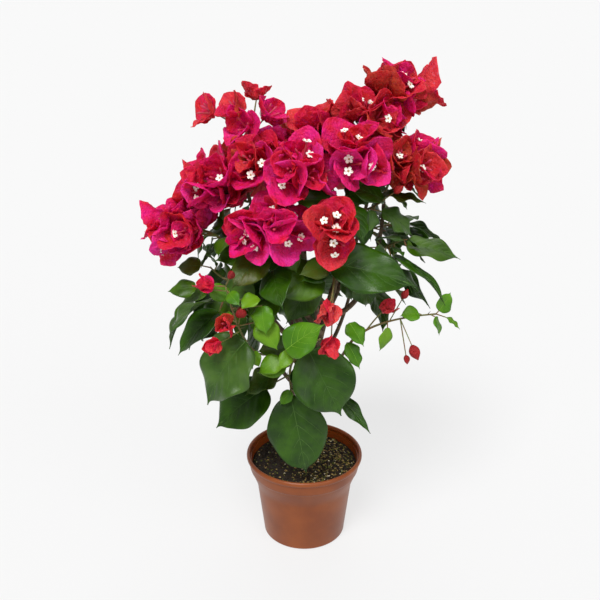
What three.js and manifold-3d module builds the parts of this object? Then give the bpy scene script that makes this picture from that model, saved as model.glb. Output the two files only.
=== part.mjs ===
import * as THREE from "three";
import { mergeVertices } from "three/addons/utils/BufferGeometryUtils.js";
import Module from "manifold-3d";

// A bougainvillea bush in a plastic nursery pot, in millimetres, +Z up. The origin is the centre of the
// pot's flat underside and the bush faces -Y. Angles are in degrees. An azimuth runs from +X towards +Y.

const wasm = await Module();
wasm.setup();

const GAP = 0.3; // between solids that meet
const UP = new THREE.Vector3(0, 0, 1);
const EAST = new THREE.Vector3(1, 0, 0);

// The pot, with a flared collar, a rolled lip and drain holes
const POT_HEIGHT = 93;
const POT_RIM_RADIUS = 60;
const POT_FOOT_RADIUS = 42.5;
const POT_WALL = 2;
const POT_FLOOR = 3;
const COLLAR_FOOT = 60; // height at which the wall begins to flare
const COLLAR_STEP = 76; // height of the collar's small step
const LIP_HEIGHT = 5.5;
const POT_SIDES = 28;
const DRAIN_HOLES = 6;
const DRAIN_RADIUS = 4;
const DRAIN_CIRCLE = 28;

// The potting mix
const SOIL_TOP = 83;
const SOIL_DIP = 2.5; // how far the surface falls towards the wall
const SOIL_FLAT = 30; // radius of its flat middle

// The trunk, from its flat foot on the soil to its tip
const TRUNK_CURVE = [[0, 4, SOIL_TOP + GAP], [0, 4, 175], [27, 8, 268]];
const TRUNK_RADIUS = [5.6, 3.2];
const FLARE = 1.7; // the foot's radius over the trunk's
const FLARE_SHARE = 0.1; // of the trunk's height

// Boughs: name, parent, share of the parent's length where it leaves, tip, radii at foot and tip
const BOUGHS = [
  ["left_bough", "trunk", 0.62, [-70, -20, 322], [2.9, 1.7]],
  ["upper_left_bough", "trunk", 0.8, [-52, -8, 372], [2.8, 1.7]],
  ["top_left_bough", "upper_left_bough", 0.72, [-44, 14, 412], [1.8, 1.3]],
  ["centre_bough", "trunk", 0.93, [-4, -14, 368], [2.7, 1.6]],
  ["low_centre_bough", "trunk", 0.72, [-16, -40, 318], [2.4, 1.5]],
  ["right_centre_bough", "trunk", 1, [38, -8, 372], [2.8, 1.7]],
  ["right_bough", "trunk", 0.87, [72, -6, 362], [2.8, 1.6]],
  ["top_right_bough", "right_centre_bough", 0.7, [62, 12, 412], [2.0, 1.5]],
  ["red_bough", "trunk", 0.78, [20, -42, 338], [2.2, 1.4]],
  ["low_left_bough", "trunk", 0.42, [-42, -44, 256], [2.4, 1.4]],
  ["low_front_bough", "trunk", 0.3, [-14, -34, 197], [2.4, 1.5]],
  ["low_right_bough", "trunk", 0.5, [40, -42, 233], [1.9, 1.3]],
  ["back_left_bough", "trunk", 0.7, [-50, 44, 340], [2.7, 1.6]],
  ["back_bough", "trunk", 0.84, [2, 56, 352], [2.7, 1.6]],
  ["back_right_bough", "trunk", 0.9, [62, 44, 352], [2.7, 1.6]],
  ["low_back_bough", "trunk", 0.46, [-14, 48, 240], [2.4, 1.5]],
  ["low_back_right_bough", "trunk", 0.57, [48, 40, 262], [2.4, 1.5]],
  ["low_back_left_bough", "trunk", 0.52, [-52, 26, 256], [2.4, 1.5]],
];

// Flower trusses: name, bough, share of the bough where the stem leaves, centre, reach each way, heads
const TRUSSES = [
  ["far_left_truss", "left_bough", 1, [-112, -32, 345], [46, 36, 32], 5],
  ["left_truss", "upper_left_bough", 0.95, [-80, -28, 385], [40, 36, 32], 5],
  ["upper_left_truss", "upper_left_bough", 1, [-42, -18, 403], [38, 38, 32], 4],
  ["centre_truss", "centre_bough", 1, [-6, -44, 399], [38, 42, 36], 5],
  ["low_centre_truss", "low_centre_bough", 1, [-32, -68, 356], [46, 34, 30], 5],
  ["red_truss", "red_bough", 1, [24, -78, 356], [26, 26, 30], 2],
  ["upper_centre_truss", "centre_bough", 0.88, [19, 4, 424], [38, 38, 30], 5],
  ["centre_right_truss", "right_centre_bough", 1, [46, -32, 412], [38, 38, 32], 5],
  ["right_truss", "right_bough", 1, [93, -12, 402], [41, 40, 28], 5],
  ["crown_right_truss", "top_right_bough", 0.5, [61, 1, 443], [40, 36, 28], 5],
  ["top_right_truss", "top_right_bough", 1, [83, 12, 460], [46, 36, 30], 5],
  ["back_left_truss", "back_left_bough", 1, [-66, 46, 377], [42, 42, 36], 5],
  ["back_truss", "back_bough", 1, [-10, 68, 392], [46, 40, 38], 5],
  ["back_right_truss", "back_right_bough", 1, [62, 62, 390], [46, 40, 38], 5],
];

// Heads of bracts on stalks of their own: truss or shoot, share of its stem, the stalk's azimuth, rise and
// length, and the length of the bracts
const STALKED_HEADS = [
  ["top_left_spray", 0.9, [182, 32, 38], 26],
  ["top_left_spray", 0.95, [186, 48, 24], 27],
  ["top_left_spray", 0.6, [-115, 50, 14], 27],
  ["top_left_spray", 1, [80, 84, 34], 21],
  ["top_left_spray", 0.95, [-10, 68, 22], 26],
  ["right_front_shoot", 0.75, [-105, -44, 36], 25],
  ["right_front_shoot", 0.55, [-100, -66, 58], 20],
  ["young_left_shoot", 0.7, [-112, 24, 16], 21],
  ["young_left_shoot", 0.65, [-123, 2, 20], 18],
  ["young_left_shoot", 1, [180, 13, 9], 18],
  ["low_right_branch", 0.36, [10, 50, 22], 16],
];

// Leafy shoots: name, bough, share of the bough where the stem leaves, tip of the stem, how far leaves
// reach from its middle, leaves placed by rule, and their mean length
const SHOOTS = [
  ["top_left_spray", "top_left_bough", 1, [-48, 4, 420], 80, 0, 0],
  ["low_left_shoot", "low_left_bough", 1, [-92, -40, 290], 104, 2, 56],
  ["young_left_shoot", "low_left_bough", 0.72, [-68, -80, 308], 104, 2, 24],
  ["front_shoot", "low_front_bough", 1, [14, -62, 250], 130, 0, 60],
  ["young_front_shoot", "low_front_bough", 0.8, [-12, -82, 262], 104, 1, 28],
  ["mid_left_shoot", "left_bough", 0.75, [-86, -32, 308], 84, 2, 44],
  ["centre_shoot", "low_centre_bough", 0.75, [-24, -48, 336], 70, 3, 44],
  ["right_front_shoot", "red_bough", 0.78, [32, -60, 322], 104, 2, 46],
  ["upper_centre_shoot", "right_centre_bough", 0.9, [26, -40, 376], 60, 2, 38],
  ["right_shoot", "right_bough", 0.75, [90, -18, 330], 84, 1, 36],
  ["upper_right_shoot", "right_centre_bough", 0.78, [66, -26, 366], 66, 2, 36],
  ["upper_left_shoot", "upper_left_bough", 0.74, [-66, -34, 346], 70, 3, 40],
  ["low_right_branch", "low_right_bough", 1, [120, -42, 266], 90, 0, 20],
  ["back_left_shoot", "back_left_bough", 0.75, [-76, 56, 322], 92, 7, 52],
  ["back_shoot", "back_bough", 0.75, [-4, 88, 326], 96, 7, 60],
  ["back_right_shoot", "back_right_bough", 0.75, [92, 58, 322], 96, 7, 56],
  ["low_back_shoot", "low_back_bough", 1, [-18, 84, 250], 118, 6, 72],
  ["low_back_right_shoot", "low_back_right_bough", 1, [76, 60, 284], 112, 6, 58],
  ["low_back_left_shoot", "low_back_left_bough", 1, [-90, 40, 266], 110, 6, 66],
];

// The leaves that show one by one: shoot, share of its stem, the stalk's azimuth, rise and length, and the
// blade's azimuth, droop, length and width over length
const LEAVES = [
  ["front_shoot", 0.05, [-86, -45, 21], [-66, 60, 84, 0.7]],
  ["front_shoot", 0.05, [-165, -38, 24], [-148, 26, 64, 0.9]],
  ["front_shoot", 0.95, [-118, -9, 17], [-45, 52, 72, 0.8]],
  ["front_shoot", 0.1, [-24, -14, 46], [-33, 28, 52, 0.3]],
  ["low_left_shoot", 0.75, [-176, -70, 17], [-157, 29, 55, 0.7]],
  ["low_left_shoot", 0.97, [80, 2, 10], [-165, 20, 50, 0.52]],
  ["young_left_shoot", 0.45, [-82, 50, 24], [-150, 50, 72, 0.84]],
  ["young_left_shoot", 0.85, [-15, 11, 28], [-90, 50, 26, 0.8]],
  ["young_left_shoot", 0.7, [-30, 8, 22], [-63, 52, 31, 0.84]],
  ["young_left_shoot", 0.97, [160, -12, 16], [-15, 8, 25, 0.7]],
  ["young_left_shoot", 0.9, [-14, 16, 26], [-130, 6, 20, 0.8]],
  ["young_front_shoot", 0.97, [-113, -14, 15], [-26, -46, 44, 0.7]],
  ["young_front_shoot", 0.85, [-160, -10, 14], [-150, 20, 24, 0.8]],
  ["mid_left_shoot", 0.88, [9, 60, 7], [-144, -44, 32, 0.6]],
  ["centre_shoot", 0.82, [121, 7, 8], [-155, -8, 47, 0.58]],
  ["centre_shoot", 1, [112, 20, 11], [-150, -18, 45, 0.5]],
  ["centre_shoot", 0.5, [-100, -17, 18], [-50, 4, 21, 0.8]],
  ["right_front_shoot", 0.22, [-168, 19, 6], [-140, 18, 48, 0.8]],
  ["right_front_shoot", 0.92, [-165, 6, 9], [-13, 16, 78, 0.6]],
  ["upper_centre_shoot", 0.85, [-34, -31, 10], [-63, 36, 36, 0.8]],
  ["upper_centre_shoot", 1, [-96, -6, 10], [-140, -4, 32, 0.7]],
  ["upper_centre_shoot", 0.97, [116, 52, 32], [-75, 52, 26, 0.6]],
  ["low_right_branch", 0.07, [-105, 24, 18], [-40, 43, 28, 0.6]],
  ["low_right_branch", 0.22, [-124, 50, 24], [-50, 34, 25, 0.8]],
  ["right_shoot", 1, [-60, -40, 6], [-18, -8, 51, 0.84]],
  ["right_shoot", 0.3, [-56, -60, 20], [-24, 25, 33, 0.65]],
  ["right_shoot", 0.57, [-100, -60, 10], [-18, 26, 63, 0.3]],
  ["right_shoot", 0.1, [-143, 44, 15], [-22, -17, 28, 0.6]],
  ["right_shoot", 0.15, [-150, 20, 16], [-112, 42, 28, 0.7]],
  ["upper_right_shoot", 0.92, [62, 19, 10], [-14, 2, 43, 0.42]],
  ["upper_right_shoot", 1, [50, 12, 8], [-150, -26, 43, 0.6]],
  ["upper_right_shoot", 0.62, [-151, 29, 15], [-63, 29, 43, 0.84]],
  ["low_right_branch", 0.6, [-96, -20, 7], [-84, 60, 25, 0.66]],
  ["low_right_branch", 0.9, [-160, 14, 6], [-160, -10, 20, 0.85]],
  ["low_right_branch", 0.96, [-45, -10, 5], [-40, 44, 19, 0.85]],
  ["low_right_branch", 1, [10, 30, 3], [20, -44, 22, 0.9]],
  ["low_right_branch", 1, [-35, -10, 10], [-35, 30, 17, 0.6]],
];

// Closed buds: shoot, share of its stem, the stalk's azimuth, rise and length, and the bud's length
const BUDS = [
  ["young_left_shoot", 0.7, [-77, 48, 21], 14],
  ["young_left_shoot", 1, [-60, 50, 14], 10],
  ["low_right_branch", 0.62, [14, 62, 24], 10],
  ["low_right_branch", 0.72, [-30, -62, 27], 15],
  ["low_right_branch", 0.72, [-30, -78, 36], 9],
  ["upper_right_shoot", 0.9, [-20, 34, 22], 11],
];

const HEAD_LENGTHS = [29, 38]; // bracts of a head, shortest and longest
const HEAD_RADIUS = 16;
const CROWN_CORE = 330; // height from which the flowers face outwards
const BRACT_WIDTH = 0.84; // over its length
const LEAF_WIDTH = 0.7;
const STEM_RADIUS = [1.6, 1.2];
const TWIG_RADIUS = [0.8, 0.9];
const ROOT_DEPTH = 0.6; // how far a twig's root goes past the middle of the stem
const JOIN_TOLERANCE = 0.06;
const WIDEST = 0.42; // share of a blade's length
const BRACT_ROOT = 2; // thickness of a bract's root

// How near two pieces may come: each is felt by points with a radius
const FEEL_STEP = 4.5;
const BLADE_FEEL = 2.2;
const TWIG_FEEL = 1.4;
const OWN_CLEAR = 1.6; // share of that distance that the pieces of one mass should keep
const CELL = 10;
const MOST_CELLS = 1000;
const STEPS = [-1, 0, 1];
const NEIGHBOURS = STEPS.flatMap((x) => STEPS.flatMap((y) => STEPS.map((z) => [x, y, z])));
const SEED = 3;
const TRIES = 100;
const SHIFTS = 25;
const POT_CLEAR = 2;

const radians = (degrees) => (degrees * Math.PI) / 180;
const vector = (list) => new THREE.Vector3(...list);
const mix = (a, b, share) => a + (b - a) * share;

// The same seed always gives the same row of numbers from 0 to 1.
function seeded(seed) {
  let state = (seed * 69069 + 12345) % 4294967296;
  const next = () => {
    state = (1664525 * state + 1013904223) % 4294967296;
    return state / 4294967296;
  };
  for (let skipped = 0; skipped < 5; skipped++) next();
  return next;
}

function heading(azimuth, rise) {
  const flat = Math.cos(radians(rise));
  return new THREE.Vector3(
    flat * Math.cos(radians(azimuth)),
    flat * Math.sin(radians(azimuth)),
    Math.sin(radians(rise)),
  );
}

// The part of a direction that is square to another, as a unit vector
function squareTo(direction, axis) {
  const across = direction.clone().addScaledVector(axis, -direction.dot(axis));
  return across.normalize();
}

function anySquareTo(axis) {
  return squareTo(Math.abs(axis.z) > 0.9 ? EAST : UP, axis);
}

// Curves are quadratic: a start, a control point and an end.
function pointOn([start, control, end], share) {
  const rest = 1 - share;
  return start
    .clone()
    .multiplyScalar(rest * rest)
    .addScaledVector(control, 2 * rest * share)
    .addScaledVector(end, share * share);
}

function tangentOn([start, control, end], share) {
  const first = control.clone().sub(start).multiplyScalar(1 - share);
  return first.addScaledVector(end.clone().sub(control), share).normalize();
}

function limbRadius(limb, share) {
  const plain = mix(limb.radius[0], limb.radius[1], share);
  const flare = limb.flare ? Math.max(0, 1 - share / FLARE_SHARE) : 0;
  return plain * (1 + (FLARE - 1) * flare * flare);
}

// A limb that leaves its parent and bends to its tip. It starts clear of the parent's side or tip.
function branch(name, parent, share, tip, radius) {
  const origin = pointOn(parent.curve, share);
  const along = tangentOn(parent.curve, share);
  const far = tip.clone().sub(origin).length();
  const side = squareTo(tip.clone().sub(origin), along);
  let start = origin.clone().addScaledVector(along, GAP);
  let out = along;
  if (share < 1) {
    out = side.clone().multiplyScalar(0.8).addScaledVector(along, 0.6);
    start = origin.clone().addScaledVector(side, limbRadius(parent, share) + GAP + 0.6 * radius[0]);
  }
  return { name, curve: [start, start.clone().addScaledVector(out, 0.45 * far), tip], radius, side };
}

// Blades are leaves and bracts: sheets that bend towards their face and fold along the middle.
function outline(share) {
  return Math.sin(Math.PI * share ** 0.65) ** (0.6 + 0.8 * share);
}

// The way a blade faces at a share of its length
function faceAt(blade, share) {
  const angle = radians(blade.bend) * share;
  return blade.face.clone().multiplyScalar(Math.cos(angle)).addScaledVector(blade.along, -Math.sin(angle));
}

function bladePoint(blade, share, across) {
  const turn = radians(blade.bend);
  const run = blade.length / turn;
  const angle = turn * share;
  const face = faceAt(blade, share);
  const side = blade.face.clone().cross(blade.along);
  const half = 0.5 * blade.width * outline(share) * across;
  return blade.base
    .clone()
    .addScaledVector(blade.along, run * Math.sin(angle))
    .addScaledVector(blade.face, run * (1 - Math.cos(angle)))
    .addScaledVector(side, half * Math.cos(radians(blade.fold)))
    .addScaledVector(face, Math.abs(half) * Math.sin(radians(blade.fold)));
}

function makeBlade(base, along, towards, length, width, bend, fold) {
  return { base, along, face: squareTo(towards, along), length, width, bend, fold };
}

// Points that feel for neighbours
function bladeFeelers(blade) {
  const rows = Math.ceil(blade.length / FEEL_STEP);
  const found = [];
  for (let row = 0; row < rows; row++) {
    const share = (row + 0.7) / (rows + 0.4);
    const columns = Math.floor((blade.width * outline(share)) / FEEL_STEP) + 1;
    for (let column = 0; column < columns; column++) {
      const across = columns === 1 ? 0 : mix(-0.92, 0.92, column / (columns - 1));
      found.push({ at: bladePoint(blade, share, across), radius: BLADE_FEEL });
    }
  }
  return found;
}

function curveFeelers(curve, radiusAt, from = 0) {
  const steps = Math.ceil(curve[0].distanceTo(curve[2]) / 4) + 1;
  const found = [];
  for (let step = 0; step <= steps; step++) {
    const share = mix(from, 1, step / steps);
    found.push({ at: pointOn(curve, share), radius: radiusAt(share) });
  }
  return found;
}

// The space that is taken, in cells, so that each mass keeps to its own
class Thicket {
  constructor() {
    this.cells = new Map();
  }

  // The key of a point's cell, or of the one some cells over
  key({ x, y, z }, [over, along, up]) {
    const column = Math.floor(x / CELL) + over;
    const row = Math.floor(y / CELL) + along;
    const floor = Math.floor(z / CELL) + up;
    return (column * MOST_CELLS + row) * MOST_CELLS + floor;
  }

  claim(feelers, owner) {
    for (const { at, radius } of feelers) {
      const key = this.key(at, [0, 0, 0]);
      if (!this.cells.has(key)) this.cells.set(key, []);
      this.cells.get(key).push({ at, radius, owner });
    }
  }

  // Counts the pairs of points that come nearer than share of their two radii. own picks the owner's own
  // points, or everyone else's.
  touches(feelers, owner, own, share) {
    let count = 0;
    for (const { at, radius } of feelers) {
      for (const shift of NEIGHBOURS) {
        for (const other of this.cells.get(this.key(at, shift)) ?? []) {
          if ((other.owner === owner) !== own) continue;
          if (at.distanceTo(other.at) < share * (radius + other.radius)) count++;
        }
      }
    }
    return count;
  }
}

function insidePot(point) {
  return point.z < POT_HEIGHT + POT_CLEAR && Math.hypot(point.x, point.y) < POT_RIM_RADIUS + POT_CLEAR;
}

// Adds to a mass the least crowded of some pieces, of those that keep to its space and touch nothing else.
function placeBest(thicket, mass, pieces) {
  let best = null;
  let fewest = Infinity;
  for (const piece of pieces) {
    const blades = piece.blades.flatMap(bladeFeelers);
    const twig = curveFeelers(piece.twig, () => TWIG_FEEL, 0.3);
    if (blades.some(({ at }) => !mass.holds(at) || insidePot(at))) continue;
    if (thicket.touches([...blades, ...twig], mass.name, false, 1)) continue;
    const loose = twig.slice(Math.floor(twig.length / 3));
    const crowding = thicket.touches([...blades, ...loose], mass.name, true, OWN_CLEAR);
    if (crowding >= fewest) continue;
    fewest = crowding;
    best = { piece, feelers: [...blades, ...twig] };
  }
  if (!best) return false;
  thicket.claim(best.feelers, mass.name);
  mass.pieces.push(best.piece);
  return true;
}

// A twig from a share of the mass's stem to a point, arriving along a direction
function twigTo(mass, share, end, arrival) {
  const start = pointOn(mass.curve, share);
  const reach = start.distanceTo(end);
  return [start, end.clone().addScaledVector(arrival, -0.25 * reach), end];
}

// Three bracts in a cup round an axis, one on each side of the end of a three-sided twig
function headPiece(mass, share, base, axis, length, spin, openness) {
  const first = anySquareTo(axis);
  const second = axis.clone().cross(first);
  const spokes = [0, 60, 120, 180, 240, 300].map((turn) => {
    const angle = radians(spin + turn);
    return first.clone().multiplyScalar(Math.cos(angle)).addScaledVector(second, Math.sin(angle));
  });
  const open = radians(openness);
  const blades = [0, 1, 2].map((which) => {
    const radial = spokes[2 * which];
    const along = axis.clone().multiplyScalar(Math.cos(open)).addScaledVector(radial, Math.sin(open));
    const root = base.clone().addScaledVector(radial, 0.5 * TWIG_RADIUS[1]);
    const [long, wide] = [length * (1 - 0.06 * which), BRACT_WIDTH * length];
    return makeBlade(root, along, axis, long, wide, 0.75 * openness, 16);
  });
  return { kind: "head", base, axis, length, twig: twigTo(mass, share, base, axis), blades, spokes };
}

function leafPiece(mass, share, [stalkAzimuth, rise, stalk], [azimuth, droop, length, width], roll) {
  const start = pointOn(mass.curve, share);
  const base = start.clone().addScaledVector(heading(stalkAzimuth, rise), stalk);
  const outwards = Math.atan2(base.y - TRUNK_CURVE[0][1], base.x) * (180 / Math.PI);
  const face = heading(outwards + roll, 38);
  const blade = makeBlade(base, heading(azimuth, -droop), face, length, width * length, -26, 13);
  const twig = [start, start.clone().lerp(base, 0.5), base];
  return { kind: "leaf", base, length, twig, blades: [blade] };
}

// All limbs and masses, grown from the lists above
export function grow() {
  const thicket = new Thicket();
  const trunk = { name: "trunk", curve: TRUNK_CURVE.map(vector), radius: TRUNK_RADIUS, flare: true };
  const limbs = new Map([["trunk", trunk]]);
  for (const [name, parent, share, tip, radius] of BOUGHS) {
    limbs.set(name, branch(name, limbs.get(parent), share, vector(tip), radius));
  }
  for (const limb of limbs.values()) {
    thicket.claim(curveFeelers(limb.curve, (share) => limbRadius(limb, share) + 0.8), limb.name);
  }

  const masses = new Map();
  const addMass = (name, bough, share, tip, kind) => {
    const mass = branch(name, limbs.get(bough), share, vector(tip), STEM_RADIUS);
    thicket.claim(curveFeelers(mass.curve, () => STEM_RADIUS[0] + 0.6), name);
    masses.set(name, Object.assign(mass, { kind, pieces: [], random: seeded(SEED + masses.size) }));
    return mass;
  };
  for (const [name, bough, share, tip, reach, count, size] of SHOOTS) {
    const mass = addMass(name, bough, share, tip, "shoot");
    const middle = pointOn(mass.curve, 0.5);
    Object.assign(mass, { count, size, holds: (point) => point.distanceTo(middle) < reach });
  }
  for (const [name, bough, share, centre, reach, count] of TRUSSES) {
    const mass = addMass(name, bough, share, centre, "truss");
    const [wide, deep, high] = reach;
    const middle = vector(centre);
    const holds = (point) => {
      const from = point.clone().sub(middle);
      return Math.hypot(from.x / (wide + 14), from.y / (deep + 14), from.z / (high + 14)) < 1;
    };
    Object.assign(mass, { count, middle, reach, holds });
  }

  const skipped = [];
  // Puts a piece where it is asked for, or else in the clearest place nearby
  const put = (label, [name, ...sizes], make) => {
    const mass = masses.get(name);
    const pieces = [make(mass, sizes, () => 0)];
    for (let made = 1; made < SHIFTS; made++) {
      pieces.push(make(mass, sizes, (reach) => mix(-reach, reach, mass.random())));
    }
    if (!placeBest(thicket, mass, pieces)) skipped.push(`${label} ${name} ${sizes}`);
  };
  for (const row of LEAVES) put("leaf", row, askedLeaf);
  for (const row of STALKED_HEADS) put("head", row, askedHead);
  for (const row of BUDS) put("bud", row, askedBud);
  const most = Math.max(...[...masses.values()].map((mass) => mass.count));
  for (const [kind, grower] of [["truss", tryHead], ["shoot", tryLeaf]]) {
    for (let made = 0; made < most; made++) {
      for (const mass of masses.values()) {
        if (mass.kind !== kind || made >= mass.count) continue;
        const pieces = Array.from({ length: TRIES }, () => grower(mass, made));
        if (!placeBest(thicket, mass, pieces)) skipped.push(`${kind} ${made} of ${mass.name}`);
      }
    }
  }
  return { limbs: [...limbs.values()], masses: [...masses.values()], skipped };
}

function askedLeaf(mass, [share, [turn, rise, stalk], [azimuth, droop, length, width]], shift) {
  const way = [turn + shift(20), rise + shift(20), stalk * (1 + shift(0.3))];
  const size = [azimuth + shift(12), droop + shift(12), length * (1 + shift(0.08)), width];
  return leafPiece(mass, share, way, size, 0);
}

function askedHead(mass, [share, [azimuth, rise, stalk], length], shift) {
  const away = heading(azimuth + shift(15), rise + shift(15));
  const base = pointOn(mass.curve, share).addScaledVector(away, stalk * (1 + shift(0.2)));
  const axis = away.clone().addScaledVector(heading(azimuth, 0), 0.3).normalize();
  return headPiece(mass, share, base, axis, length, azimuth + 40 + shift(60), 52);
}

function askedBud(mass, [share, [azimuth, rise, stalk], length], shift) {
  const axis = heading(azimuth + shift(15), rise + shift(15));
  const base = pointOn(mass.curve, share).addScaledVector(axis, stalk);
  const blade = makeBlade(base, axis, EAST, length, 0.6 * length, 1, 0);
  return { kind: "bud", base, length, twig: twigTo(mass, share, base, axis), blades: [blade] };
}

// A head at a random place in a truss's space, facing away from its middle and from the trunk
function tryHead({ name, curve, random, middle, reach }) {
  const spot = heading(360 * random(), mix(-60, 90, random())).multiplyScalar(mix(0.5, 1, random()));
  const core = new THREE.Vector3(...reach.map((far) => far - HEAD_RADIUS));
  const centre = middle.clone().add(spot.clone().multiply(core));
  const outwards = new THREE.Vector3(centre.x, centre.y, 0.6 * (centre.z - CROWN_CORE)).normalize();
  const axis = outwards.addScaledVector(spot, 0.9).addScaledVector(UP, 0.1).normalize();
  const size = random();
  const length = mix(...HEAD_LENGTHS, size);
  const base = centre.clone().addScaledVector(axis, -0.4 * length);
  const share = mix(0.35, 0.95, random());
  return headPiece({ name, curve }, share, base, axis, length, 360 * random(), mix(48, 60, size));
}

// A leaf along a shoot's stem, to one side or the other of the way out from the trunk
function tryLeaf(mass, made) {
  const { curve, random, count, size } = mass;
  const share = mix(0.1, 1, (made + random()) / count);
  const root = pointOn(curve, share);
  const outwards = Math.atan2(root.y - TRUNK_CURVE[0][1], root.x) * (180 / Math.PI);
  const side = made % 2 ? 1 : -1;
  const azimuth = outwards + side * mix(10, 100, random());
  const droop = mix(-5, 62, random());
  const length = size * mix(0.72, 1.12, random());
  const stalk = [azimuth, 12 - Math.min(droop, 30), 0.2 * length + 4];
  return leafPiece(mass, share, stalk, [azimuth, droop, length, LEAF_WIDTH], mix(-25, 25, random()));
}

const bladeThickness = (length) => Math.max(0.9, 0.016 * length);

// Two triangles between a pair of neighbours in one ring and the same pair in the next
const quad = (here, next, step) => [here, next, next + step, here, next + step, here + step];

// A closed surface round rings of points, which run anticlockwise about the way from start to end
function loft(start, rings, end) {
  const sides = rings[0].length;
  const points = [start, ...rings.flat(), end];
  const last = points.length - 1;
  const index = [];
  const at = (ring, side) => 1 + ring * sides + (side % sides);
  for (let side = 0; side < sides; side++) {
    index.push(0, at(0, side + 1), at(0, side));
    for (let ring = 0; ring + 1 < rings.length; ring++) {
      index.push(at(ring, side), at(ring, side + 1), at(ring + 1, side));
      index.push(at(ring, side + 1), at(ring + 1, side + 1), at(ring + 1, side));
    }
    index.push(last, at(rings.length - 1, side), at(rings.length - 1, side + 1));
  }
  return new THREE.BufferGeometry().setFromPoints(points).setIndex(index);
}

// A tapering tube along a curve, with flat ends. One corner of each ring faces back to the parent.
function tube({ curve, side }, radiusAt, sides, shares) {
  const back = side ? side.clone().negate() : EAST;
  const rings = shares.map((share) => {
    const along = tangentOn(curve, share);
    const across = squareTo(back, along);
    const other = along.clone().cross(across);
    const centre = pointOn(curve, share);
    return Array.from({ length: sides }, (_, corner) => {
      const angle = (2 * Math.PI * corner) / sides;
      return centre
        .clone()
        .addScaledVector(across, radiusAt(share) * Math.cos(angle))
        .addScaledVector(other, radiusAt(share) * Math.sin(angle));
    });
  });
  return loft(pointOn(curve, shares[0]), rings, pointOn(curve, shares.at(-1)));
}

const evenly = (steps) => Array.from({ length: steps + 1 }, (_, step) => step / steps);

// Four points round a blade's section. It is sharp along its outline and thickest along its middle.
function bladeRing(blade, share, thick) {
  const middle = bladePoint(blade, share, 0);
  const face = faceAt(blade, share);
  return [
    bladePoint(blade, share, 1),
    middle.clone().addScaledVector(face, thick / 2),
    bladePoint(blade, share, -1),
    middle.clone().addScaledVector(face, -thick / 2),
  ];
}

function squareRing(centre, along, side, radius) {
  const across = squareTo(side, along).multiplyScalar(radius);
  const other = along.clone().cross(across);
  const arms = [across, other, across.clone().negate(), other.clone().negate()];
  return arms.map((arm) => arm.clone().add(centre));
}

// A leaf or a bud with its stalk, which starts inside the stem
function leafGeometry({ kind, twig, blades: [blade], length }) {
  const away = twig[2].clone().sub(twig[0]).normalize();
  const side = blade.face.clone().cross(blade.along);
  const turned = away.clone().add(blade.along).normalize();
  const thick = kind === "bud" ? 0.5 * length : bladeThickness(length);
  const rings = [
    squareRing(twig[0].clone().addScaledVector(away, -ROOT_DEPTH), away, side, TWIG_RADIUS[0]),
    squareRing(twig[2], turned, side, TWIG_RADIUS[1]),
    bladeRing(blade, WIDEST, thick),
  ];
  return loft(twig[0].clone().addScaledVector(away, -ROOT_DEPTH - 0.3), rings, bladePoint(blade, 1, 0));
}

// A head of three bracts with its twig. Each bract's root takes one side of the twig's end.
function headGeometry({ twig, blades, axis, spokes, length }) {
  const ring = (centre, along, radius) => {
    const turn = new THREE.Quaternion().setFromUnitVectors(axis, along);
    const corners = [spokes[5], spokes[1], spokes[3]].map((spoke) => spoke.clone().applyQuaternion(turn));
    return corners.map((corner) => corner.multiplyScalar(radius).add(centre));
  };
  const half = BRACT_ROOT / 2;
  const inwards = tangentOn(twig, 0).multiplyScalar(-ROOT_DEPTH);
  const rings = [
    ring(twig[0].clone().add(inwards), tangentOn(twig, 0), TWIG_RADIUS[0]),
    ring(pointOn(twig, 0.5), tangentOn(twig, 0.5), TWIG_RADIUS[0]),
    ring(twig[2].clone().addScaledVector(axis, -half), axis, TWIG_RADIUS[1]),
    ring(twig[2].clone().addScaledVector(axis, half), axis, TWIG_RADIUS[1]),
  ];
  const points = rings.flat();
  const index = [0, 2, 1, 9, 10, 11];
  for (const first of [0, 3]) {
    for (let side = 0; side < 3; side++) index.push(...quad(first + side, first + ((side + 1) % 3), 3));
  }
  blades.forEach((blade, which) => {
    const root = [6 + which, 6 + ((which + 1) % 3), 9 + ((which + 1) % 3), 9 + which];
    const first = points.length;
    const [left, face, right, back] = bladeRing(blade, WIDEST, bladeThickness(length));
    points.push(back, left, face, right, bladePoint(blade, 1, 0));
    for (let side = 0; side < 4; side++) {
      const next = (side + 1) % 4;
      index.push(root[side], root[next], first + next, root[side], first + next, first + side);
      index.push(first + side, first + next, first + 4);
    }
  });
  return new THREE.BufferGeometry().setFromPoints(points).setIndex(index);
}

function solidOf(geometry) {
  geometry.deleteAttribute("normal");
  geometry.deleteAttribute("uv");
  const merged = mergeVertices(geometry, 1e-4);
  return new wasm.Manifold(
    new wasm.Mesh({
      numProp: 3,
      vertProperties: new Float32Array(merged.attributes.position.array),
      triVerts: new Uint32Array(merged.index.array),
    }),
  );
}

// One solid's outer surface. Loose scraps are dropped and sealed hollows are filled.
function geometryOf(solid) {
  const shells = solid.decompose().sort((a, b) => b.volume() - a.volume());
  const mesh = shells[0].getMesh();
  return new THREE.BufferGeometry()
    .setAttribute("position", new THREE.BufferAttribute(mesh.vertProperties, 3))
    .setIndex(new THREE.BufferAttribute(mesh.triVerts, 1));
}

// A mass: its stem with every twig, leaf and bract fused on
function massGeometry(mass) {
  const stemRadius = (share) => mix(...STEM_RADIUS, share);
  let solid = solidOf(tube(mass, stemRadius, 4, evenly(5)));
  for (const piece of mass.pieces) {
    solid = solid.add(solidOf(piece.kind === "head" ? headGeometry(piece) : leafGeometry(piece)));
  }
  return geometryOf(solid.setTolerance(JOIN_TOLERANCE));
}

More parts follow.
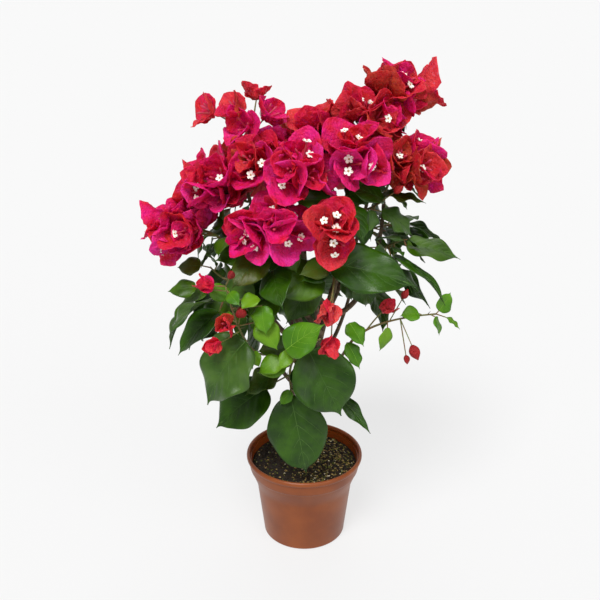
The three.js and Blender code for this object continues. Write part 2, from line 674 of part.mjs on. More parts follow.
function limbGeometry(limb) {
  const steps = evenly(limb.flare ? 8 : 4);
  if (limb.flare) steps.splice(1, 0, 0.02, 0.05);
  return tube(limb, (share) => limbRadius(limb, share), limb.flare ? 9 : 6, steps);
}

// Lathe profiles are radius and height. Z becomes the axis of the lathe's solid.
function lathe(profile) {
  const points = profile.map(([radius, height]) => new THREE.Vector2(radius, height));
  return solidOf(new THREE.LatheGeometry(points, POT_SIDES).rotateX(Math.PI / 2));
}

// The pot's outer radius at a height, below the lip
function potRadius(height) {
  const wall = mix(POT_FOOT_RADIUS, POT_FOOT_RADIUS + 7, height / COLLAR_FOOT);
  const flared = Math.max(0, height - COLLAR_FOOT) / (POT_HEIGHT - COLLAR_FOOT);
  return wall + 4.4 * Math.sin((Math.PI / 2) * Math.min(1, 1.6 * flared));
}

function potGeometry() {
  const lip = POT_HEIGHT - LIP_HEIGHT;
  const inner = (height) => [potRadius(height) - POT_WALL, height];
  const heights = [COLLAR_FOOT, 67, COLLAR_STEP];
  const outside = [[0, 0], [POT_FOOT_RADIUS - 2.5, 0], [potRadius(3), 3]];
  outside.push(...heights.map((height) => [potRadius(height), height]));
  outside.push([potRadius(COLLAR_STEP) + 0.7, COLLAR_STEP + 0.8], [potRadius(lip) + 0.7, lip]);
  const rolled = [];
  for (const angle of [-60, 0, 60]) {
    const [wide, high] = [2, LIP_HEIGHT / 2];
    const across = POT_RIM_RADIUS - wide + wide * Math.cos(radians(angle));
    rolled.push([across, POT_HEIGHT - high + high * Math.sin(radians(angle))]);
  }
  const inside = [[potRadius(lip) - POT_WALL, lip + 1]];
  inside.push(...heights.toReversed().map(inner), inner(POT_FLOOR + 1.5));
  inside.push([potRadius(POT_FLOOR) - POT_WALL - 1.5, POT_FLOOR], [0, POT_FLOOR]);
  let pot = lathe([...outside, ...rolled, ...inside]);
  for (let hole = 0; hole < DRAIN_HOLES; hole++) {
    const turn = (2 * Math.PI * hole) / DRAIN_HOLES;
    const drain = new THREE.CylinderGeometry(DRAIN_RADIUS, DRAIN_RADIUS, 4 * POT_FLOOR, 8);
    drain.rotateX(Math.PI / 2).translate(DRAIN_CIRCLE * Math.cos(turn), DRAIN_CIRCLE * Math.sin(turn), 0);
    pot = pot.subtract(solidOf(drain));
  }
  return geometryOf(pot);
}

function soilGeometry() {
  const edge = (height) => [potRadius(height) - POT_WALL - GAP - 0.2, height];
  const floor = POT_FLOOR + GAP;
  const profile = [[0, floor], [potRadius(floor) - POT_WALL - 3, floor], edge(floor + 2.4)];
  profile.push(edge(COLLAR_FOOT), edge(67), edge(SOIL_TOP - SOIL_DIP));
  profile.push([SOIL_FLAT, SOIL_TOP], [0, SOIL_TOP]);
  return geometryOf(lathe(profile));
}

const MATERIALS = {
  pot: new THREE.MeshStandardMaterial({ color: 0x9a5a3c, roughness: 0.42, metalness: 0 }),
  soil: new THREE.MeshStandardMaterial({ color: 0x3a2a1c, roughness: 1, metalness: 0 }),
  bark: new THREE.MeshStandardMaterial({ color: 0x6b5636, roughness: 0.9, metalness: 0 }),
  leaf: new THREE.MeshStandardMaterial({ color: 0x35601f, roughness: 0.5, metalness: 0 }),
  young_leaf: new THREE.MeshStandardMaterial({ color: 0x5f9a26, roughness: 0.5, metalness: 0 }),
  bract: new THREE.MeshStandardMaterial({ color: 0xc4144e, roughness: 0.7, metalness: 0 }),
};

const YOUNG = ["young_left_shoot", "young_front_shoot", "low_right_branch"];

function materialOf(mass) {
  if (mass.kind === "truss" || mass.name === "top_left_spray") return MATERIALS.bract;
  return YOUNG.includes(mass.name) ? MATERIALS.young_leaf : MATERIALS.leaf;
}

const bush = new THREE.Group();

function addNode(name, geometry, material) {
  const mesh = new THREE.Mesh(geometry, material);
  mesh.name = name;
  bush.add(mesh);
}

const grown = grow();
addNode("pot", potGeometry(), MATERIALS.pot);
addNode("potting_mix", soilGeometry(), MATERIALS.soil);
for (const limb of grown.limbs) addNode(limb.name, limbGeometry(limb), MATERIALS.bark);
for (const mass of grown.masses) addNode(mass.name, massGeometry(mass), materialOf(mass));

export default bush;
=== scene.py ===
"""A bougainvillea bush in a plastic nursery pot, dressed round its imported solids.

Leaves, bracts, twigs and flowers grow by the same rule as the solids' masses, in millimetres, and become
meshes in metres. Angles are in degrees. An azimuth runs from +X towards +Y. The bush faces -Y.
"""

import math
import random
from collections import defaultdict

import bmesh
import bpy
import numpy as np
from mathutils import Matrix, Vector


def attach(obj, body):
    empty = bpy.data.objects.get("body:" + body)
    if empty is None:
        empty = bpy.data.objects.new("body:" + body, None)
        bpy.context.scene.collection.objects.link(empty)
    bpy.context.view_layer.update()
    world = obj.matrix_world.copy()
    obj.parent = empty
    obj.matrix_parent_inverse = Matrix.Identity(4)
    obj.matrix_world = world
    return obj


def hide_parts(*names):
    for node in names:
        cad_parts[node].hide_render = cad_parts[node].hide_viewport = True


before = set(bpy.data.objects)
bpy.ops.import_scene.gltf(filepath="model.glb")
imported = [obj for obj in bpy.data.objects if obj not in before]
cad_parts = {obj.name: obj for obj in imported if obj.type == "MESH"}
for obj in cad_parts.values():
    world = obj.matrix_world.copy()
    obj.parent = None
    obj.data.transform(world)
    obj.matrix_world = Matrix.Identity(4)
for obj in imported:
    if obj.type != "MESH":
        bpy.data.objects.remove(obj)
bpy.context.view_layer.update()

MM = 0.001
GAP = 0.3
UP = (0.0, 0.0, 1.0)
EAST = (1.0, 0.0, 0.0)

# The pot
POT_HEIGHT = 93
POT_RIM_RADIUS = 60
POT_FOOT_RADIUS = 42.5
POT_WALL = 2
POT_FLOOR = 3
COLLAR_FOOT = 60
COLLAR_STEP = 76
LIP_HEIGHT = 5.5
SOIL_TOP = 83
SOIL_DIP = 2.5
SOIL_FLAT = 30
DRAIN_HOLES = 6
DRAIN_RADIUS = 4
DRAIN_CIRCLE = 28

# Limbs: name, parent, share of the parent's length where it leaves, tip, radii at foot and tip
TRUNK_CURVE = [[0, 4, SOIL_TOP + GAP], [0, 4, 175], [27, 8, 268]]
TRUNK_RADIUS = [5.6, 3.2]
FLARE = 1.7
FLARE_SHARE = 0.1
BOUGHS = [
    ["left_bough", "trunk", 0.62, [-70, -20, 322], [2.9, 1.7]],
    ["upper_left_bough", "trunk", 0.8, [-52, -8, 372], [2.8, 1.7]],
    ["top_left_bough", "upper_left_bough", 0.72, [-44, 14, 412], [1.8, 1.3]],
    ["centre_bough", "trunk", 0.93, [-4, -14, 368], [2.7, 1.6]],
    ["low_centre_bough", "trunk", 0.72, [-16, -40, 318], [2.4, 1.5]],
    ["right_centre_bough", "trunk", 1, [38, -8, 372], [2.8, 1.7]],
    ["right_bough", "trunk", 0.87, [72, -6, 362], [2.8, 1.6]],
    ["top_right_bough", "right_centre_bough", 0.7, [62, 12, 412], [2.0, 1.5]],
    ["red_bough", "trunk", 0.78, [20, -42, 338], [2.2, 1.4]],
    ["low_left_bough", "trunk", 0.42, [-42, -44, 256], [2.4, 1.4]],
    ["low_front_bough", "trunk", 0.3, [-14, -34, 197], [2.4, 1.5]],
    ["low_right_bough", "trunk", 0.5, [40, -42, 233], [1.9, 1.3]],
    ["back_left_bough", "trunk", 0.7, [-50, 44, 340], [2.7, 1.6]],
    ["back_bough", "trunk", 0.84, [2, 56, 352], [2.7, 1.6]],
    ["back_right_bough", "trunk", 0.9, [62, 44, 352], [2.7, 1.6]],
    ["low_back_bough", "trunk", 0.46, [-14, 48, 240], [2.4, 1.5]],
    ["low_back_right_bough", "trunk", 0.57, [48, 40, 262], [2.4, 1.5]],
    ["low_back_left_bough", "trunk", 0.52, [-52, 26, 256], [2.4, 1.5]],
]

# Flower trusses: name, bough, share of the bough where the stem leaves, centre, reach each way, heads and
# their colours
TRUSSES = [
    ["far_left_truss", "left_bough", 1, [-112, -32, 345], [46, 36, 32], 5, "pink"],
    ["left_truss", "upper_left_bough", 0.95, [-80, -28, 385], [40, 36, 32], 5, "pink"],
    ["upper_left_truss", "upper_left_bough", 1, [-42, -18, 403], [38, 38, 32], 4, "bright"],
    ["centre_truss", "centre_bough", 1, [-6, -44, 399], [38, 42, 36], 5, "pink"],
    ["low_centre_truss", "low_centre_bough", 1, [-32, -68, 356], [46, 34, 30], 5, "rosy"],
    ["red_truss", "red_bough", 1, [24, -78, 356], [26, 26, 30], 2, "red"],
    ["upper_centre_truss", "centre_bough", 0.88, [19, 4, 424], [38, 38, 30], 5, "deep"],
    ["centre_right_truss", "right_centre_bough", 1, [46, -32, 412], [38, 38, 32], 5, "pink"],
    ["right_truss", "right_bough", 1, [93, -12, 402], [41, 40, 28], 5, "warm"],
    ["crown_right_truss", "top_right_bough", 0.5, [61, 1, 443], [40, 36, 28], 5, "bright"],
    ["top_right_truss", "top_right_bough", 1, [83, 12, 460], [46, 36, 30], 5, "warm"],
    ["back_left_truss", "back_left_bough", 1, [-66, 46, 377], [42, 42, 36], 5, "pink"],
    ["back_truss", "back_bough", 1, [-10, 68, 392], [46, 40, 38], 5, "pink"],
    ["back_right_truss", "back_right_bough", 1, [62, 62, 390], [46, 40, 38], 5, "warm"],
]

# Heads on stalks of their own: shoot, share of its stem, the stalk's azimuth, rise and length, bracts
STALKED_HEADS = [
    ["top_left_spray", 0.9, [182, 32, 38], 26],
    ["top_left_spray", 0.95, [186, 48, 24], 27],
    ["top_left_spray", 0.6, [-115, 50, 14], 27],
    ["top_left_spray", 1, [80, 84, 34], 21],
    ["top_left_spray", 0.95, [-10, 68, 22], 26],
    ["right_front_shoot", 0.75, [-105, -44, 36], 25],
    ["right_front_shoot", 0.55, [-100, -66, 58], 20],
    ["young_left_shoot", 0.7, [-112, 24, 16], 21],
    ["young_left_shoot", 0.65, [-123, 2, 20], 18],
    ["young_left_shoot", 1, [180, 13, 9], 18],
    ["low_right_branch", 0.36, [10, 50, 22], 16],
]

# Leafy shoots: name, bough, share of the bough where the stem leaves, tip, reach, leaves by rule and their
# mean length
SHOOTS = [
    ["top_left_spray", "top_left_bough", 1, [-48, 4, 420], 80, 0, 0],
    ["low_left_shoot", "low_left_bough", 1, [-92, -40, 290], 104, 2, 56],
    ["young_left_shoot", "low_left_bough", 0.72, [-68, -80, 308], 104, 2, 24],
    ["front_shoot", "low_front_bough", 1, [14, -62, 250], 130, 0, 60],
    ["young_front_shoot", "low_front_bough", 0.8, [-12, -82, 262], 104, 1, 28],
    ["mid_left_shoot", "left_bough", 0.75, [-86, -32, 308], 84, 2, 44],
    ["centre_shoot", "low_centre_bough", 0.75, [-24, -48, 336], 70, 3, 44],
    ["right_front_shoot", "red_bough", 0.78, [32, -60, 322], 104, 2, 46],
    ["upper_centre_shoot", "right_centre_bough", 0.9, [26, -40, 376], 60, 2, 38],
    ["right_shoot", "right_bough", 0.75, [90, -18, 330], 84, 1, 36],
    ["upper_right_shoot", "right_centre_bough", 0.78, [66, -26, 366], 66, 2, 36],
    ["upper_left_shoot", "upper_left_bough", 0.74, [-66, -34, 346], 70, 3, 40],
    ["low_right_branch", "low_right_bough", 1, [120, -42, 266], 90, 0, 20],
    ["back_left_shoot", "back_left_bough", 0.75, [-76, 56, 322], 92, 7, 52],
    ["back_shoot", "back_bough", 0.75, [-4, 88, 326], 96, 7, 60],
    ["back_right_shoot", "back_right_bough", 0.75, [92, 58, 322], 96, 7, 56],
    ["low_back_shoot", "low_back_bough", 1, [-18, 84, 250], 118, 6, 72],
    ["low_back_right_shoot", "low_back_right_bough", 1, [76, 60, 284], 112, 6, 58],
    ["low_back_left_shoot", "low_back_left_bough", 1, [-90, 40, 266], 110, 6, 66],
]

# Leaves that show one by one: shoot, share of its stem, the stalk's azimuth, rise and length, and the
# blade's azimuth, droop, length and width over length
LEAVES = [
    ["front_shoot", 0.05, [-86, -45, 21], [-66, 60, 84, 0.7]],
    ["front_shoot", 0.05, [-165, -38, 24], [-148, 26, 64, 0.9]],
    ["front_shoot", 0.95, [-118, -9, 17], [-45, 52, 72, 0.8]],
    ["front_shoot", 0.1, [-24, -14, 46], [-33, 28, 52, 0.3]],
    ["low_left_shoot", 0.75, [-176, -70, 17], [-157, 29, 55, 0.7]],
    ["low_left_shoot", 0.97, [80, 2, 10], [-165, 20, 50, 0.52]],
    ["young_left_shoot", 0.45, [-82, 50, 24], [-150, 50, 72, 0.84]],
    ["young_left_shoot", 0.85, [-15, 11, 28], [-90, 50, 26, 0.8]],
    ["young_left_shoot", 0.7, [-30, 8, 22], [-63, 52, 31, 0.84]],
    ["young_left_shoot", 0.97, [160, -12, 16], [-15, 8, 25, 0.7]],
    ["young_left_shoot", 0.9, [-14, 16, 26], [-130, 6, 20, 0.8]],
    ["young_front_shoot", 0.97, [-113, -14, 15], [-26, -46, 44, 0.7]],
    ["young_front_shoot", 0.85, [-160, -10, 14], [-150, 20, 24, 0.8]],
    ["mid_left_shoot", 0.88, [9, 60, 7], [-144, -44, 32, 0.6]],
    ["centre_shoot", 0.82, [121, 7, 8], [-155, -8, 47, 0.58]],
    ["centre_shoot", 1, [112, 20, 11], [-150, -18, 45, 0.5]],
    ["centre_shoot", 0.5, [-100, -17, 18], [-50, 4, 21, 0.8]],
    ["right_front_shoot", 0.22, [-168, 19, 6], [-140, 18, 48, 0.8]],
    ["right_front_shoot", 0.92, [-165, 6, 9], [-13, 16, 78, 0.6]],
    ["upper_centre_shoot", 0.85, [-34, -31, 10], [-63, 36, 36, 0.8]],
    ["upper_centre_shoot", 1, [-96, -6, 10], [-140, -4, 32, 0.7]],
    ["upper_centre_shoot", 0.97, [116, 52, 32], [-75, 52, 26, 0.6]],
    ["low_right_branch", 0.07, [-105, 24, 18], [-40, 43, 28, 0.6]],
    ["low_right_branch", 0.22, [-124, 50, 24], [-50, 34, 25, 0.8]],
    ["right_shoot", 1, [-60, -40, 6], [-18, -8, 51, 0.84]],
    ["right_shoot", 0.3, [-56, -60, 20], [-24, 25, 33, 0.65]],
    ["right_shoot", 0.57, [-100, -60, 10], [-18, 26, 63, 0.3]],
    ["right_shoot", 0.1, [-143, 44, 15], [-22, -17, 28, 0.6]],
    ["right_shoot", 0.15, [-150, 20, 16], [-112, 42, 28, 0.7]],
    ["upper_right_shoot", 0.92, [62, 19, 10], [-14, 2, 43, 0.42]],
    ["upper_right_shoot", 1, [50, 12, 8], [-150, -26, 43, 0.6]],
    ["upper_right_shoot", 0.62, [-151, 29, 15], [-63, 29, 43, 0.84]],
    ["low_right_branch", 0.6, [-96, -20, 7], [-84, 60, 25, 0.66]],
    ["low_right_branch", 0.9, [-160, 14, 6], [-160, -10, 20, 0.85]],
    ["low_right_branch", 0.96, [-45, -10, 5], [-40, 44, 19, 0.85]],
    ["low_right_branch", 1, [10, 30, 3], [20, -44, 22, 0.9]],
    ["low_right_branch", 1, [-35, -10, 10], [-35, 30, 17, 0.6]],
]

# Closed buds: shoot, share of its stem, the stalk's azimuth, rise and length, and the bud's length
BUDS = [
    ["young_left_shoot", 0.7, [-77, 48, 21], 14],
    ["young_left_shoot", 1, [-60, 50, 14], 10],
    ["low_right_branch", 0.62, [14, 62, 24], 10],
    ["low_right_branch", 0.72, [-30, -62, 27], 15],
    ["low_right_branch", 0.72, [-30, -78, 36], 9],
    ["upper_right_shoot", 0.9, [-20, 34, 22], 11],
]

HEAD_LENGTHS = [29, 38]
HEAD_RADIUS = 16
CROWN_CORE = 330
OPENNESS = [48, 60]
STALKED_OPENNESS = 52
OVER_REACH = 14
BRACT_WIDTH = 0.84
BRACT_FOLD = 16
LEAF_WIDTH = 0.7
LEAF_BEND = -26
LEAF_FOLD = 13
FACE_RISE = 38
STALK_SHIFT = 20
LEAF_SHIFT = 12
HEAD_SHIFT = 15
STEM_RADIUS = [1.6, 1.2]
TWIG_RADIUS = [0.8, 0.9]
FEEL_STEP = 4.5
BLADE_FEEL = 2.2
TWIG_FEEL = 1.4
OWN_CLEAR = 1.6
CELL = 10
MOST_CELLS = 1000
SEED = 3
TRIES = 100
SHIFTS = 25
POT_CLEAR = 2

# What the solids leave out: smaller heads and leaves between the others
SMALL_HEADS = 6
FEW_SMALL_HEADS = {"red_truss": 3}
SMALL_HEAD_LENGTHS = [21, 28]
SMALL_CLOSE = 0.6
SMALL_LEAVES = 3
SMALL_TRIES = 40
SMALL_LEAF = 26
SMALL_LEAF_SHARE = 0.62
LEAST_MEAN_LENGTH = 20
BARE_SHOOTS = ["low_right_branch", "top_left_spray"]

# Finished blades: in a form a pair is a range to draw from, and None is drawn as a seed. A grid has its rows
# along the blade and its columns across it.
LEAF_FORM = {
    "peak": (0.68, 0.8), "round": 0.56, "taper": 0.62, "drip": (0.45, 0.7), "crease": 1.4,
    "cup": (-0.6, 0.1), "veins": 6, "relief": 0.018, "waves": (1.2, 2.6), "ripple": (0.03, 0.075),
    "twist": (0, 3), "phase": (0, 6), "sway": (-0.07, 0.07), "crumple": 0, "ragged": 0.02, "nicks": 2.5,
}
BRACT_FORM = {
    "peak": (0.66, 0.78), "round": 0.42, "taper": 0.1, "drip": (0.0, 0.3), "crease": 0.8,
    "cup": (0.3, 0.95), "veins": 5, "relief": 0.022, "waves": (1.2, 2.6), "ripple": (0.025, 0.06),
    "twist": (0, 3), "phase": (0, 6), "sway": (-0.08, 0.08), "crumple": (0.6, 1.3), "seed": None,
    "ragged": 0.03, "nicks": (3, 5),
}
FOLD_SIZE = 7.5
BLADE_STUB = 0.014
EVEN_ROWS = 0.6
VEIN_LEAN = 0.32
VEIN_TAPER = 0.3
LARGE_LEAF = 36
LARGE_LEAF_GRID = (36, 17)
LEAF_GRID = (18, 9)
LEAF_BENDS = (0.8, 1.7)
LEAF_THICK = 0.3
LEAF_THICK_SHARE = 0.008
MIDRIB_WIDTH = 0.009
MIDRIB_PROUD = 0.05
SIDE_VEIN_WIDTH = 0.006
SIDE_VEIN_PROUD = 0.15

# Heads: what each bract's width, length and bend are multiplied by, and its fold, opening and roll. A rib's
# numbers are its half width and how far it stands out.
BRACT_VARIES = {
    "width": (1.12, 1.3), "length": (1.0, 1.12), "bend": (0.25, 1.25), "fold": (-8, 20),
    "opening": (-10, 16), "roll": (-26, 26),
}
BRACT_SWELL = 1.03
BRACT_GRID = (15, 12)
BRACT_THICK = 0.28
MIDRIB = (0.26, 0.28)
SIDE_RIB = (0.16, 0.24)
SIDE_RIB_STARTS = (0.12, 0.3, 0.5)
SIDE_RIB_LEAN = 0.3
YOUNG_CLOSING = -22
YOUNG_SLIMMING = 0.86
TUBE_LENGTHS = (0.5, 0.66)
TUBE_GIRTHS = [0.7, 1.1, 1.15, 0.85, 0.75, 0.85, 0.95]
CLOSED_TUBE_END = [1.25, 0.5]
STAR_SIDES = 30
STAR_SIZES = (3.5, 4.2)
STAR_RINGS = ((0.25, 0), (0.6, 0.5), (1, 0.35))
STAR_WAVE = 0.35
STAR_THICK = 0.35
EYE_HEIGHTS = [0, 0.35, 0.6, 0.75]
EYE_GIRTHS = [0.6, 0.7, 0.5, 0.2]
BUD_SIDES = 18
BUD_GIRTH = 0.3
BUD_OUTLINE = [0.35, 0.75, 1, 1.08, 1.05, 0.95, 0.7, 0.38, 0.08]

# Limbs, stems and twigs: their sides, the distance of their points along them, and radii at foot and tip
TRUNK_SIDES = 36
BOUGH_SIDES = 16
LIMB_SPACING = 2
BOUGH_BARK = 0.6
RIDGE_COUNTS = [3, 4, 5, 7, 9]
KNOT_SPACING = 22
STEM_SIDES = 9
STEM_SPACING = 2.5
STEM_GIRTH = [1.25, 0.75]
THORN_SPACING = 16
THORN_LENGTHS = (3, 5.5)
TWIG_SPACING = 3
TWIG_SIDES = 6
HEAD_TWIG = [0.85, 0.6]
BUD_TWIG = [0.6, 0.45]

# Plain base colours, each with the near one that it is mottled with. A leaf's colour comes with its
# roughness and sheen.
YOUNG_SHOOTS = ["young_left_shoot", "young_front_shoot", "low_right_branch"]
LEAF_COLOURS = {
    "deep": [((26, 56, 0), (46, 82, 2)), 0.36, 0],
    "green": [((40, 70, 0), (66, 100, 8)), 0.38, 0],
    # The grey leaves: a dark leaf green with grey-blue added to its base colour as painted sheen, on top of
    # the shader's own sheen
    "green_painted_sheen": [((40, 70, 14), (66, 96, 32)), 0.38, 0.1],
    "bronze": [((66, 72, 4), (50, 80, 4)), 0.42, 0],
    "fresh": [((58, 106, 4), (82, 130, 14)), 0.42, 0],
    "young": [((74, 118, 6), (100, 142, 20)), 0.44, 0],
}
OLD_LENGTH = 58
OLD_MIX = ["deep", "green", "deep", "deep"]
GREEN_MIX = ["deep", "deep", "deep", "green", "green", "green", "green_painted_sheen", "bronze"]
YOUNG_MIX = ["young", "young", "fresh"]
PALE_LEAVES = ["young", "fresh"]
# Leaves of young shoots at least this long take the grey green with its painted sheen
PAINTED_SHEEN_LENGTH = 50
FRESH_LENGTH = 40
LEAF_VEIN = [((74, 106, 44), (54, 88, 28)), 0.5, 0]
YOUNG_VEIN = [((128, 168, 52), (108, 150, 38)), 0.5, 0]
BRACT_COLOURS = {
    "magenta": ((228, 18, 118), (208, 14, 48)),
    "rose": ((232, 40, 138), (220, 16, 84)),
    "crimson": ((216, 18, 76), (196, 20, 30)),
    "scarlet": ((220, 56, 58), (196, 16, 48)),
    "russet": ((186, 66, 38), (184, 22, 36)),
    "coral": ((226, 84, 74), (204, 46, 52)),
}
NEAR_COLOURS = {
    "magenta": ["rose", "crimson"], "rose": ["magenta"], "crimson": ["magenta", "scarlet"],
    "scarlet": ["crimson", "russet"], "russet": ["scarlet"], "coral": ["scarlet"],
}
RIB_COLOURS = ((186, 42, 66), (150, 24, 48))
BUD_COLOURS = ((156, 28, 30), (124, 22, 26))
HEAD_MIXES = {
    "pink": ["magenta", "magenta", "crimson", "rose"],
    "warm": ["crimson", "scarlet", "magenta", "russet"],
    "bright": ["magenta", "crimson", "scarlet"],
    "rosy": ["magenta", "rose", "magenta"],
    "red": ["crimson", "scarlet", "crimson"],
    "deep": ["crimson", "magenta", "scarlet"],
    "spray": ["magenta", "scarlet", "crimson"],
    "young": ["scarlet", "russet", "crimson"],
    "coral": ["coral", "scarlet"],
}
SHOOT_MIXES = {"top_left_spray": "spray", "right_front_shoot": "coral"}
OWN_COLOUR_SHARE = 0.72
BACK_COLOURS = ["scarlet", "russet"]
OPEN_FLOWERS = [1, 2, 2, 3]
FLOWERING_LENGTH = 26

# Paints: two colours, roughness, scale of the mottling and of the grain, the grain's strength and depth
PAINTS = {
    "bark": [(112, 92, 66), (72, 58, 40), 0.82, 190, 900, 0.7, 0.0006],
    "thorn": [(96, 92, 48), (78, 64, 36), 0.6, 200, 900, 0.2, 0.0002],
    "stem": [(92, 104, 44), (110, 88, 46), 0.6, 130, 1100, 0.3, 0.0003],
    "twig": [(104, 118, 48), (124, 84, 52), 0.55, 120, 1200, 0.2, 0.0002],
    "flower_tube": [(196, 40, 84), (176, 60, 72), 0.6, 160, 1200, 0.2, 0.0002],
    "flower_star": [(255, 254, 246), (250, 246, 232), 0.55, 160, 1200, 0.1, 0.0001],
    "flower_eye": [(196, 170, 70), (176, 120, 60), 0.6, 160, 1200, 0.1, 0.0001],
    "pot_plastic": [(133, 66, 19), (116, 54, 14), 0.38, 28, 700, 0.25, 0.0003],
    "soil_bed": [(46, 32, 16), (22, 15, 8), 0.95, 240, 900, 1, 0.0015],
    "soil_crumb": [(54, 36, 18), (26, 18, 8), 0.95, 300, 1200, 0.8, 0.0006],
    "soil_fibre": [(180, 152, 88), (112, 88, 42), 0.9, 300, 1200, 0.6, 0.0004],
    "soil_moss": [(116, 112, 44), (74, 80, 24), 0.9, 300, 1200, 0.6, 0.0004],
    "soil_grit": [(236, 228, 200), (206, 188, 144), 0.8, 300, 1200, 0.4, 0.0003],
}
MOTTLE_EDGES = (0.36, 0.64)
MOTTLE_DETAIL = 3
GRAIN_DETAIL = 4

# Crumbs on the mix: piece, paint, how many, sizes, thickness over size, share that the left side keeps
SOIL_KINDS = [
    ["soil_crumbs", "soil_crumb", 640, (0.6, 2.1), (0.5, 0.9), 1],
    ["soil_fibres", "soil_fibre", 1000, (0.6, 1.9), (0.14, 0.28), 0.12],
    ["soil_moss", "soil_moss", 760, (0.6, 1.5), (0.4, 0.8), 0.35],
    ["soil_grit", "soil_grit", 190, (0.45, 1.15), (0.6, 0.95), 0.12],
]
THIN_UP_TO = -14
THIN_FADE = 20
TRUNK_CLEAR = 10
LIES_FLAT = 0.3
SOIL_SEED = 7

# The finished pot, and the mix's bed in it
POT_SIDES = 160
COLLAR_TOP = POT_HEIGHT - LIP_HEIGHT
WALL_TOP_RADIUS = 49.5
COLLAR_SWELL = 4.4
STEP_OUT = 0.7
LIP_CENTRE = 58
LIP_REACH = 2
SHARP_ANGLE = 35
SOIL_SIDES = 120
SOIL_RINGS = 42
BED_CLEAR = 0.4
BED_WALL = (60, 30, POT_FLOOR + BED_CLEAR)

# The studio
FLOOR_SIZE = 80
FLOOR_PALE = 0.2
FLOOR_GLOW = 0.67
WORLD_LIGHT = 0.38
LAMPS = [
    ["key", (-0.35, -0.9, 1.35), 24, 2.8],
    ["fill", (0.9, -1.0, 0.9), 45, 0.8],
    ["back", (0.0, 1.0, 1.1), 45, 0.6],
]
CAMERA_PLACE = (-0.0045, -0.731, 0.561)
CAMERA_TURN = 67.8
CAMERA_LENS = 49.1
CAMERA_SENSOR = 36


# Small vectors are tuples, because they are quicker than arrays.
def plus(a, b, scale=1.0):
    return (a[0] + b[0] * scale, a[1] + b[1] * scale, a[2] + b[2] * scale)


def minus(a, b):
    return (a[0] - b[0], a[1] - b[1], a[2] - b[2])


def times(a, scale):
    return (a[0] * scale, a[1] * scale, a[2] * scale)


def dot(a, b):
    return a[0] * b[0] + a[1] * b[1] + a[2] * b[2]


def cross(a, b):
    return (a[1] * b[2] - a[2] * b[1], a[2] * b[0] - a[0] * b[2], a[0] * b[1] - a[1] * b[0])


def size_of(a):
    return math.sqrt(dot(a, a))


def unit(a):
    return times(a, 1 / size_of(a))


def mix(a, b, share):
    return a + (b - a) * share


def seeded(seed):
    """The same row of numbers from 0 to 1 as the solids use."""
    state = (seed * 69069 + 12345) % 4294967296

    def following():
        nonlocal state
        state = (1664525 * state + 1013904223) % 4294967296
        return state / 4294967296

    for _ in range(5):
        following()
    return following


def heading(azimuth, rise):
    flat = math.cos(math.radians(rise))
    turn = math.radians(azimuth)
    return (flat * math.cos(turn), flat * math.sin(turn), math.sin(math.radians(rise)))


def square_to(direction, axis):
    return unit(plus(direction, axis, -dot(direction, axis)))


def any_square_to(axis):
    return square_to(EAST if abs(axis[2]) > 0.9 else UP, axis)


def point_on(curve, share):
    start, control, end = curve
    rest = 1 - share
    return plus(plus(times(start, rest * rest), control, 2 * rest * share), end, share * share)


def tangent_on(curve, share):
    start, control, end = curve
    return unit(plus(times(minus(control, start), 1 - share), minus(end, control), share))


def span(curve):
    return size_of(minus(curve[0], curve[2]))


def limb_radius(limb, share):
    plain = mix(*limb["radius"], share)
    flare = max(0, 1 - share / FLARE_SHARE) if limb.get("flare") else 0
    return plain * (1 + (FLARE - 1) * flare * flare)


def branch(name, parent, share, tip, radius):
    origin = point_on(parent["curve"], share)
    along = tangent_on(parent["curve"], share)
    far = size_of(minus(tip, origin))
    side = square_to(minus(tip, origin), along)
    start = plus(origin, along, GAP)
    out = along
    if share < 1:
        out = plus(times(side, 0.8), along, 0.6)
        start = plus(origin, side, limb_radius(parent, share) + GAP + 0.6 * radius[0])
    curve = [start, plus(start, out, 0.45 * far), tip]
    return {"name": name, "curve": curve, "radius": radius, "origin": origin}


def outline(share):
    return np.sin(math.pi * share**0.65) ** (0.6 + 0.8 * share)


def make_blade(base, along, towards, length, width, bend, fold):
    face = square_to(towards, along)
    return dict(base=base, along=along, face=face, length=length, width=width, bend=bend, fold=fold)


def blade_frame(blade, share):
    """A bent blade's middle line at shares of its length, the way to its side and the ways out of it"""
    turn = math.radians(blade["bend"])
    run = blade["length"] / turn
    along, face = np.array(blade["along"]), np.array(blade["face"])
    angle = (turn * share)[:, None]
    turned = face * np.cos(angle) - along * np.sin(angle)
    middle = np.array(blade["base"]) + along * (run * np.sin(angle)) + face * (run * (1 - np.cos(angle)))
    return middle, np.cross(face, along), turned


def blade_points(blade, share, across):
    """Points of a blade at shares of its length and of its half width"""
    fold = math.radians(blade["fold"])
    middle, side, turned = blade_frame(blade, share)
    half = (0.5 * blade["width"] * outline(share) * across)[:, None]
    return middle + side * (half * math.cos(fold)) + turned * (np.abs(half) * math.sin(fold))


def blade_feelers(blade):
    rows = math.ceil(blade["length"] / FEEL_STEP)
    shares, across = [], []
    for row in range(rows):
        share = (row + 0.7) / (rows + 0.4)
        columns = math.floor((blade["width"] * outline(share)) / FEEL_STEP) + 1
        for column in range(columns):
            shares.append(share)
            across.append(0 if columns == 1 else mix(-0.92, 0.92, column / (columns - 1)))
    return blade_points(blade, np.array(shares), np.array(across))


def curve_points(curve, start=0.0):
    steps = math.ceil(span(curve) / 4) + 1
    shares = [mix(start, 1, step / steps) for step in range(steps + 1)]
    return shares, np.array([point_on(curve, share) for share in shares])


